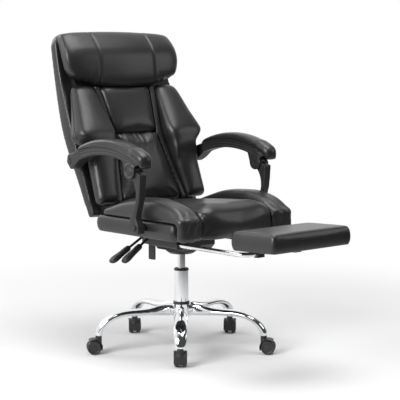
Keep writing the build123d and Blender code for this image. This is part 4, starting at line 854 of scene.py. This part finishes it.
def pillow_held(p):
    """Held fast along the rear, and half along the seams."""
    x, v, w = on_back(p)
    seam = np.abs(np.abs(x) - PILLOW_SEAM) < PILLOW_SEAM_GRIP
    return np.where(w < PILLOW_REAR, 1.0, np.where(seam, 0.5, 0.0))


def pillow_folds(p):
    x, v, w = on_back(p)
    seam = SEAM_DEPTH * hump(np.abs(x), PILLOW_SEAM, SEAM_WIDTH)
    low = hump(v, *GATHER_LINE) * (np.abs(x) > PILLOW_SEAM) * (w > GATHER_FACE)
    return seam + GATHER_DEPTH * low * np.sin(np.abs(x) * GATHER_RATES[0] + v * GATHER_RATES[1])


pillow = cover("head_pillow_cover", "head_pillow", voxel=PAD_VOXEL, swell=0.001)
stuff(pillow, pillow_held, PILLOW_PRESSURE, PILLOW_CAP)
spots, normals = points_of(pillow)
x, v, w = on_back(spots)
aside = np.abs(x)
low = ramp(v, *PILLOW_LOW)
droop = PILLOW_DROOP * low * ramp(w, *DROOP_FACE) * ramp(aside, *DROOP_SIDE)
rise = PILLOW_LIFT * low * ramp(aside, *LIFT_SIDE)
full = PILLOW_FULL * hump(v, *FULL_LINE) * ramp(w, *FULL_FACE)
ends = PILLOW_ENDS * ramp(aside, *ENDS_SIDE) * hump(v, *ENDS_LINE) * ramp(w, *ENDS_FACE)
tuck = PILLOW_TUCK * ramp(aside, *TUCK_SIDE) * ramp(w, *TUCK_FACE)
spots[:, 0] += np.sign(x) * (ends - tuck)
move_points(pillow, spots + (rise - droop)[:, None] * UP_BACK + full[:, None] * OUT_BACK)
apply(pillow, "SUBSURF", levels=1, render_levels=1)
press(pillow, pillow_folds)
dress(pillow, "back", "head_pillow", fill=0.8)

# Seam thread: short stitches of black thread on both sides of the pillow's two upright seams.
# One stitch is modelled, bowed in its middle, and copied along the seam.
THREAD_R = 0.00045
THREAD_ROUND = 6
STITCH_LENGTH = 0.0042
STITCH_BOW = 0.0004
STITCH_ROW = np.arange(0.445, 0.652, 0.006)
STITCH_SHIFTS = (("inner", -0.008), ("outer", 0.008))
STITCH_FRONT = 0.142
thread = Finish(bpy.data.materials.new("seam_thread"))
twist = thread.noise(scale=2600.0, detail=2.0)
thread.surface(
    Base_Color=thread.between(twist, (0.02, 0.02, 0.021), (0.05, 0.05, 0.052)),
    Roughness=0.6 + 0.2 * twist,
    Normal=thread.bump(twist, distance=0.0002, strength=0.6),
)
bpy.ops.object.select_all(action="DESELECT")
bpy.ops.mesh.primitive_cylinder_add(
    vertices=THREAD_ROUND, radius=THREAD_R, depth=STITCH_LENGTH, end_fill_type="TRIFAN"
)
stitch = bpy.context.object
bpy.ops.object.mode_set(mode="EDIT")
bpy.ops.mesh.select_all(action="SELECT")
bpy.ops.mesh.bisect(plane_co=(0, 0, 0), plane_no=(0, 0, 1))
bpy.ops.transform.translate(value=(STITCH_BOW, 0, 0))
bpy.ops.object.mode_set(mode="OBJECT")


def sew(name, piece, body, route):
    """Lays stitches on a cushion along a route of points near its surface."""
    copies = []
    for here, there in zip(route[:-1], route[1:]):
        found, spot, normal, face = piece.closest_point_on_mesh(here)
        found, ahead, tilt, face = piece.closest_point_on_mesh(there)
        along = (ahead - spot).normalized()
        across = along.cross(normal).normalized()
        out = across.cross(along)
        copy = stitch.copy()
        copy.data = stitch.data.copy()
        scene.collection.objects.link(copy)
        shape, normals = points_of(copy)
        move_points(copy, shape @ np.array([out, across, along]) + np.array(spot))
        copies.append(copy)
    bpy.ops.object.select_all(action="DESELECT")
    for copy in copies:
        copy.select_set(True)
    bpy.context.view_layer.objects.active = copies[0]
    bpy.ops.object.join()
    seam = bpy.context.view_layer.objects.active
    seam.name = name
    seam.data.materials.clear()
    seam.data.materials.append(thread.owner)
    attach(seam, body)


for side, mark in SIDES.items():
    for row, shift in STITCH_SHIFTS:
        route = [back_spot(mark * (PILLOW_SEAM + shift), v, STITCH_FRONT) for v in STITCH_ROW]
        sew(f"pillow_stitches_{side}_{row}", pillow, "back", route)
bpy.data.objects.remove(stitch)

# Arm frames: moulded plastic bars, rounded all over, with two long grooves down each face.
# The front end is a ringed disc that turns on the post, and the rear end turns on the back.
ARCH_TOP = ((-0.149, 0.672), (0.038, 0.722), (0.190, 0.702))
ARCH_UNDER = ((-0.115, 0.660), (0.038, 0.694), (0.176, 0.672))
GROOVE_SHARES = (0.3, 0.62)
GROOVE_WIDTH = 0.07
GROOVE_DEPTH = 0.0016
GROOVE_FRONT = (-0.098, -0.078)
GROOVE_REAR = (0.186, 0.166)
GROOVE_FACING = (0.6, 0.9)
BAR_REAR = (0.2, 0.22)
BAR_NOSE = (-0.105, -0.125)
BAR_NOSE_RISE = (0.648, 0.656)
BAR_NOSE_SINK = 0.003


def arch_height(points, y):
    """Height at y of the upper arc through three points."""
    (y1, z1), (y2, z2), (y3, z3) = points
    rows = np.array(((y2 - y1, z2 - z1), (y3 - y1, z3 - z1)))
    right = 0.5 * np.array((y2**2 - y1**2 + z2**2 - z1**2, y3**2 - y1**2 + z3**2 - z1**2))
    cy, cz = np.linalg.solve(rows, right)
    radius = math.hypot(y1 - cy, z1 - cz)
    return cz + np.sqrt(np.maximum(radius**2 - (y - cy) ** 2, 0))


def groove(piece):
    """Sinks the long grooves into both faces of an arm bar."""
    spots, normals = points_of(piece)
    x, y, z = spots.T
    top = arch_height(ARCH_TOP, y)
    share = (top - z) / (top - arch_height(ARCH_UNDER, y))
    depth = GROOVE_DEPTH * sum(hump(share, at, GROOVE_WIDTH) for at in GROOVE_SHARES)
    depth *= ramp(y, *GROOVE_FRONT) * ramp(y, *GROOVE_REAR) * ramp(np.abs(normals[:, 0]), *GROOVE_FACING)
    move_points(piece, spots - depth[:, None] * normals)


def bar_nose(p):
    return ramp(p[:, 1], *BAR_NOSE) * ramp(p[:, 2], *BAR_NOSE_RISE)


def bar_ends(p):
    return np.maximum(ramp(p[:, 1], *BAR_REAR), bar_nose(p))


for side in SIDES:
    bar = cover(f"arm_frame_{side}_bar", f"arm_frame_{side}", voxel=0.0015, relax=5)
    soften(bar, bar_ends, repeat=90)
    press(bar, lambda p: BAR_NOSE_SINK * bar_nose(p))
    groove(bar)
    fit(bar, plastic, "black_plastic", f"arm_{side}", f"arm_frame_{side}")

# Arm posts: waisted plastic uprights, rounded on every edge and fuller behind at the calf.
# Each turns on a bolt through the seat's side, and its head carries the arm frame.
CALF_HEIGHTS = (0.44, 0.468, 0.498, 0.52, 0.558, 0.61, 0.64)
CALF_FULL = (0.0, 0.005, 0.022, 0.022, 0.012, 0.004, 0.0)
POST_SHIN = (-0.139, -0.131)
for side in SIDES:
    post = cover(f"arm_post_{side}_upright", f"arm_post_{side}", voxel=0.0016, relax=6)
    spots, normals = points_of(post)
    calf = np.interp(spots[:, 2], CALF_HEIGHTS, CALF_FULL)
    spots[:, 1] += calf * ramp(spots[:, 1], *POST_SHIN)
    move_points(post, spots)
    fit(post, plastic, "black_plastic", f"post_{side}", f"arm_post_{side}")

# Arm pads: soft leather-covered pads over the arched bars, with a rolled front end.
# The cover is stretched tight and screwed on from below, so it shows no folds.
PAD_NOSE = (-0.085, -0.115)
PAD_NOSE_FULL = 0.007


def pad_nose(p):
    return ramp(p[:, 1], *PAD_NOSE)


for side in SIDES:
    arm_pad = cover(f"arm_pad_{side}_cover", f"arm_pad_{side}", voxel=0.003, swell=0.002, relax=8)
    soften(arm_pad, pad_nose, repeat=220)
    press(arm_pad, lambda p: -PAD_NOSE_FULL * pad_nose(p))
    dress(arm_pad, f"arm_{side}", f"arm_pad_{side}", fill=0.9)

# Footrest: a flat leather cushion box on a lined board, clipped to a chromed tube.
# The tube slides in two plastic guides under the seat, and the cover is stapled to the board.
FOOT_HEM = 0.43
FOOT_PRESSURE = 1.5
FOOT_CAP = 0.003
finish_nodes(chrome, "footrest_frame")
finish_nodes(plastic, "footrest_guides")
finish_nodes(coat, "footrest_clips")
finish_nodes(lining, "footrest_board")
foot = cover("footrest_pad_cover", "footrest_pad", voxel=0.003, relax=2)
stuff(foot, lambda p: p[:, 2] < FOOT_HEM, FOOT_PRESSURE, FOOT_CAP)
dress(foot, "footrest_pad", "footrest_pad", fill=0.8)
